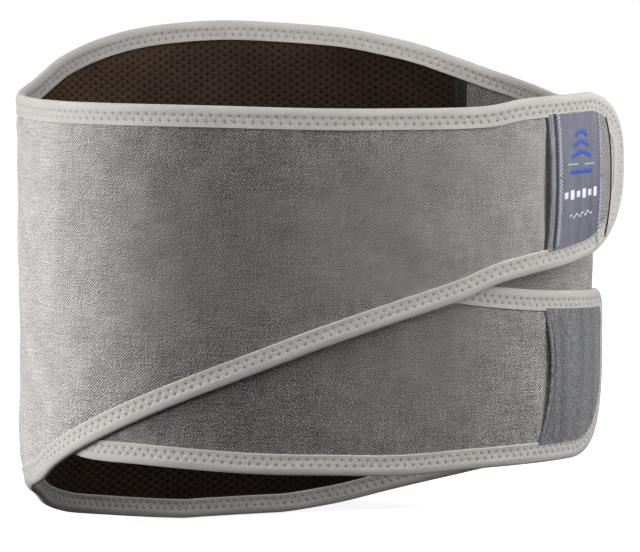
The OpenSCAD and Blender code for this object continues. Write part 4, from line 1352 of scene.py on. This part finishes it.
# -------------------------------------------------------------- hook patches
def hooks(name, s0, s1, z0, z1, shift, lo_fn, hi_fn, base_o, body, node):
    S = np.linspace(s0, s1, 40)
    a = np.maximum(z0, lo_fn(S + shift) + 0.8)
    b = np.minimum(z1, hi_fn(S + shift) - 0.8)
    v = np.linspace(0, 1, 34)
    z = a[:, None] + (b - a)[:, None] * v[None]
    SS = np.repeat(S[:, None] + shift, 34, 1)
    rim = np.minimum(np.minimum(SS - SS.min(), SS.max() - SS), np.minimum(z - z[:, :1], z[:, -1:] - z))
    o = base_o - 0.35 - 0.55 * ease(rim / 0.8)
    fab = np.stack([SS, z, np.full_like(z, 30)], -1)
    parts = [(P(SS, o, z), grid_faces(40, 34, flip=True), fab, 0)]
    gs, gz = np.meshgrid(np.arange(s0 + 1.6, s1 - 1.4, 1.5), np.arange(z0 + 1.2, z1 - 1.2, 1.5), indexing="ij")
    gs, gz = gs.ravel() + shift, gz.ravel()
    ok = (gz > np.interp(gs - shift, S, a) + 1.2) & (gz < np.interp(gs - shift, S, b) - 1.2)
    gs, gz = gs[ok], gz[ok]
    r = np.random.default_rng(31)
    lean = r.uniform(-0.15, 0.15, len(gs))
    t = np.linspace(0, 1, 6)
    hs = 0.45 * np.sin(np.pi * 1.25 * t)
    hx = 0.55 * (1 - np.cos(np.pi * 0.9 * t)) / 2
    path = P(gs[:, None] + lean[:, None] * t, (base_o - 0.85) - hs[None] * 1.0, gz[:, None] + hx[None])
    TV, TF, tf = tubes(path, N(gs[:, None] + 0 * t), 0.10, 4)
    parts.append((TV, TF, tf, 1))
    V, F, fb, mi = merge(parts)
    attach(make(name, V, F, [M_HOOKBASE, M_HOOK], fb, mi), None, body, "hook_fastener", (node,))


hooks("hook_upper", 84, 136, 163, 212, TURN, up_lo, up_hi, -PANEL - 0.1, "upper_flap", "upper_flap_hook")
hooks("hook_lower", 84, 138, 63, 116, 0.0, lo_lo, lo_hi, -STEP - PANEL - 0.1, "lower_flap", "lower_flap_hook")


# ------------------------------------------------- carried-over CAD nodes
def steel():
    m, nt, bsdf = nodes("stay_steel")
    g = G(nt)
    v = g.obj()
    mp = g.n("ShaderNodeMapping")
    mp.inputs["Scale"].default_value = (2200, 2200, 60)
    nt.links.new(v, mp.inputs[0])
    brush = g.noise(mp.outputs[0], 1.0, 3.0, 0.6)
    c = g.mix(brush, (0.50, 0.51, 0.53), (0.68, 0.69, 0.71))
    r = g.m("ADD", g.m("MULTIPLY", brush, 0.18), 0.24)
    setp(g, bsdf, c, r, 0, 0.5, 0.5, g.bump(brush, 0.2, 0.00005), metal=1.0)
    return m


def plastic():
    m, nt, bsdf = nodes("tip_plastic")
    g = G(nt)
    v = g.obj()
    f = g.noise(v, 900.0, 3.0)
    c = g.mix(f, (0.012, 0.012, 0.015), (0.026, 0.026, 0.030))
    setp(g, bsdf, c, 0.45, 0, 0.5, 0.5, g.bump(f, 0.25, 0.00008))
    return m


M_STEEL, M_TIP = steel(), plastic()
for k in range(1, 5):
    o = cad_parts[f"stay_{k}"]
    o.data.materials.clear()
    o.data.materials.append(M_STEEL)
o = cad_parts["stay_tips"]
o.data.materials.clear()
o.data.materials.append(M_TIP)

# ----------------------------------------------------------- floor and lights
fm = bpy.data.materials.new("floor")
fm.use_nodes = True
nt = fm.node_tree
for n in list(nt.nodes):
    nt.nodes.remove(n)
g = G(nt)
out = g.n("ShaderNodeOutputMaterial")
lp = g.n("ShaderNodeLightPath")
d1 = g.n("ShaderNodeBsdfDiffuse")
d1.inputs[0].default_value = (0.80, 0.80, 0.80, 1)
e1 = g.n("ShaderNodeEmission")
e1.inputs[0].default_value = (1, 1, 1, 1)
geo_ = g.n("ShaderNodeNewGeometry")
ln = g.n("ShaderNodeVectorMath", operation="LENGTH")
nt.links.new(geo_.outputs["Position"], ln.inputs[0])
mr = g.n("ShaderNodeMapRange", interpolation_type="SMOOTHSTEP")
nt.links.new(ln.outputs["Value"], mr.inputs[0])
for k_, v_ in ((1, 0.16), (2, 0.60), (3, 0.66), (4, 1.0)):
    mr.inputs[k_].default_value = v_
nt.links.new(mr.outputs[0], e1.inputs[1])
ad = g.n("ShaderNodeAddShader")
nt.links.new(d1.outputs[0], ad.inputs[0])
nt.links.new(e1.outputs[0], ad.inputs[1])
d2 = g.n("ShaderNodeBsdfDiffuse")
d2.inputs[0].default_value = (0.10, 0.10, 0.10, 1)
mx = g.n("ShaderNodeMixShader")
nt.links.new(lp.outputs["Is Camera Ray"], mx.inputs[0])
nt.links.new(d2.outputs[0], mx.inputs[1])
nt.links.new(ad.outputs[0], mx.inputs[2])
nt.links.new(mx.outputs[0], out.inputs[0])
me = bpy.data.meshes.new("floor")
R = 12.0
me.from_pydata([(-R, -R, -0.0008), (R, -R, -0.0008), (R, R, -0.0008), (-R, R, -0.0008)], [], [(0, 1, 2, 3)])
floor = bpy.data.objects.new("floor", me)
floor.data.materials.append(fm)
bpy.context.scene.collection.objects.link(floor)

w = bpy.data.worlds.new("studio")
bpy.context.scene.world = w
w.use_nodes = True
nt = w.node_tree
for n in list(nt.nodes):
    nt.nodes.remove(n)
g = G(nt)
out = g.n("ShaderNodeOutputWorld")
lp = g.n("ShaderNodeLightPath")
b1 = g.n("ShaderNodeBackground")
b1.inputs[0].default_value = (1, 1, 1, 1)
b1.inputs[1].default_value = 0.05
b2 = g.n("ShaderNodeBackground")
b2.inputs[0].default_value = (1, 1, 1, 1)
b2.inputs[1].default_value = 1.0
mx = g.n("ShaderNodeMixShader")
nt.links.new(lp.outputs["Is Camera Ray"], mx.inputs[0])
nt.links.new(b1.outputs[0], mx.inputs[1])
nt.links.new(b2.outputs[0], mx.inputs[2])
nt.links.new(mx.outputs[0], out.inputs[0])


def area(name, az, height, dist, power, sx, sy, target=(0, 0, 0.13), color=(1, 1, 1)):
    l = bpy.data.lights.new(name, "AREA")
    l.shape = "RECTANGLE"
    l.size, l.size_y, l.energy, l.color = sx, sy, power, color
    o = bpy.data.objects.new(name, l)
    a = math.radians(az)
    o.location = (math.sin(a) * dist, -math.cos(a) * dist, height)
    d = Vector(target) - o.location
    o.rotation_euler = d.to_track_quat("-Z", "Y").to_euler()
    o.visible_camera = False
    bpy.context.scene.collection.objects.link(o)
    return o


area("left_box", -106, 0.12, 1.5, 15.5, 0.7, 0.22)
area("left_side", -68, 0.30, 1.5, 11.2, 0.5, 0.5)
area("right_near", 50, 0.27, 0.485, 1.76, 0.22, 0.42, target=(0.03, -0.09, 0.13))
area("front_high", -12, 1.15, 1.25, 2.4, 0.9, 0.6)
area("top_box", -12, 1.45, 0.45, 12, 1.0, 0.8, color=(1.0, 0.99, 0.975))
area("back_fill", 165, 0.9, 1.5, 9, 1.0, 0.8)

# --------------------------------------------------------------------- camera
yaw, pitch, D = math.radians(20.0), math.radians(5.0), 1.727
f = Vector((math.sin(yaw) * math.cos(pitch), math.cos(yaw) * math.cos(pitch), -math.sin(pitch)))
r = Vector((math.cos(yaw), -math.sin(yaw), 0.0))
u = r.cross(f)
cam_data = bpy.data.cameras.new("camera")
cam = bpy.data.objects.new("camera", cam_data)
bpy.context.scene.collection.objects.link(cam)
cam.location = -f * D + Vector((-0.00007, -0.00088, 0.133))
rot = Matrix((r, u, -f)).transposed()
cam.rotation_mode = "QUATERNION"
cam.rotation_quaternion = rot.to_quaternion()
cam_data.sensor_width = 36.0
cam_data.lens = 3480.0 * 36.0 / 640.0
cam_data.shift_x = (320.0 - 308.0) / 640.0
cam_data.shift_y = (279.5 - 276.0) / 640.0
cam_data.clip_start, cam_data.clip_end = 0.05, 60.0
bpy.context.scene.camera = cam
bpy.context.scene.view_settings.view_transform = "Standard"
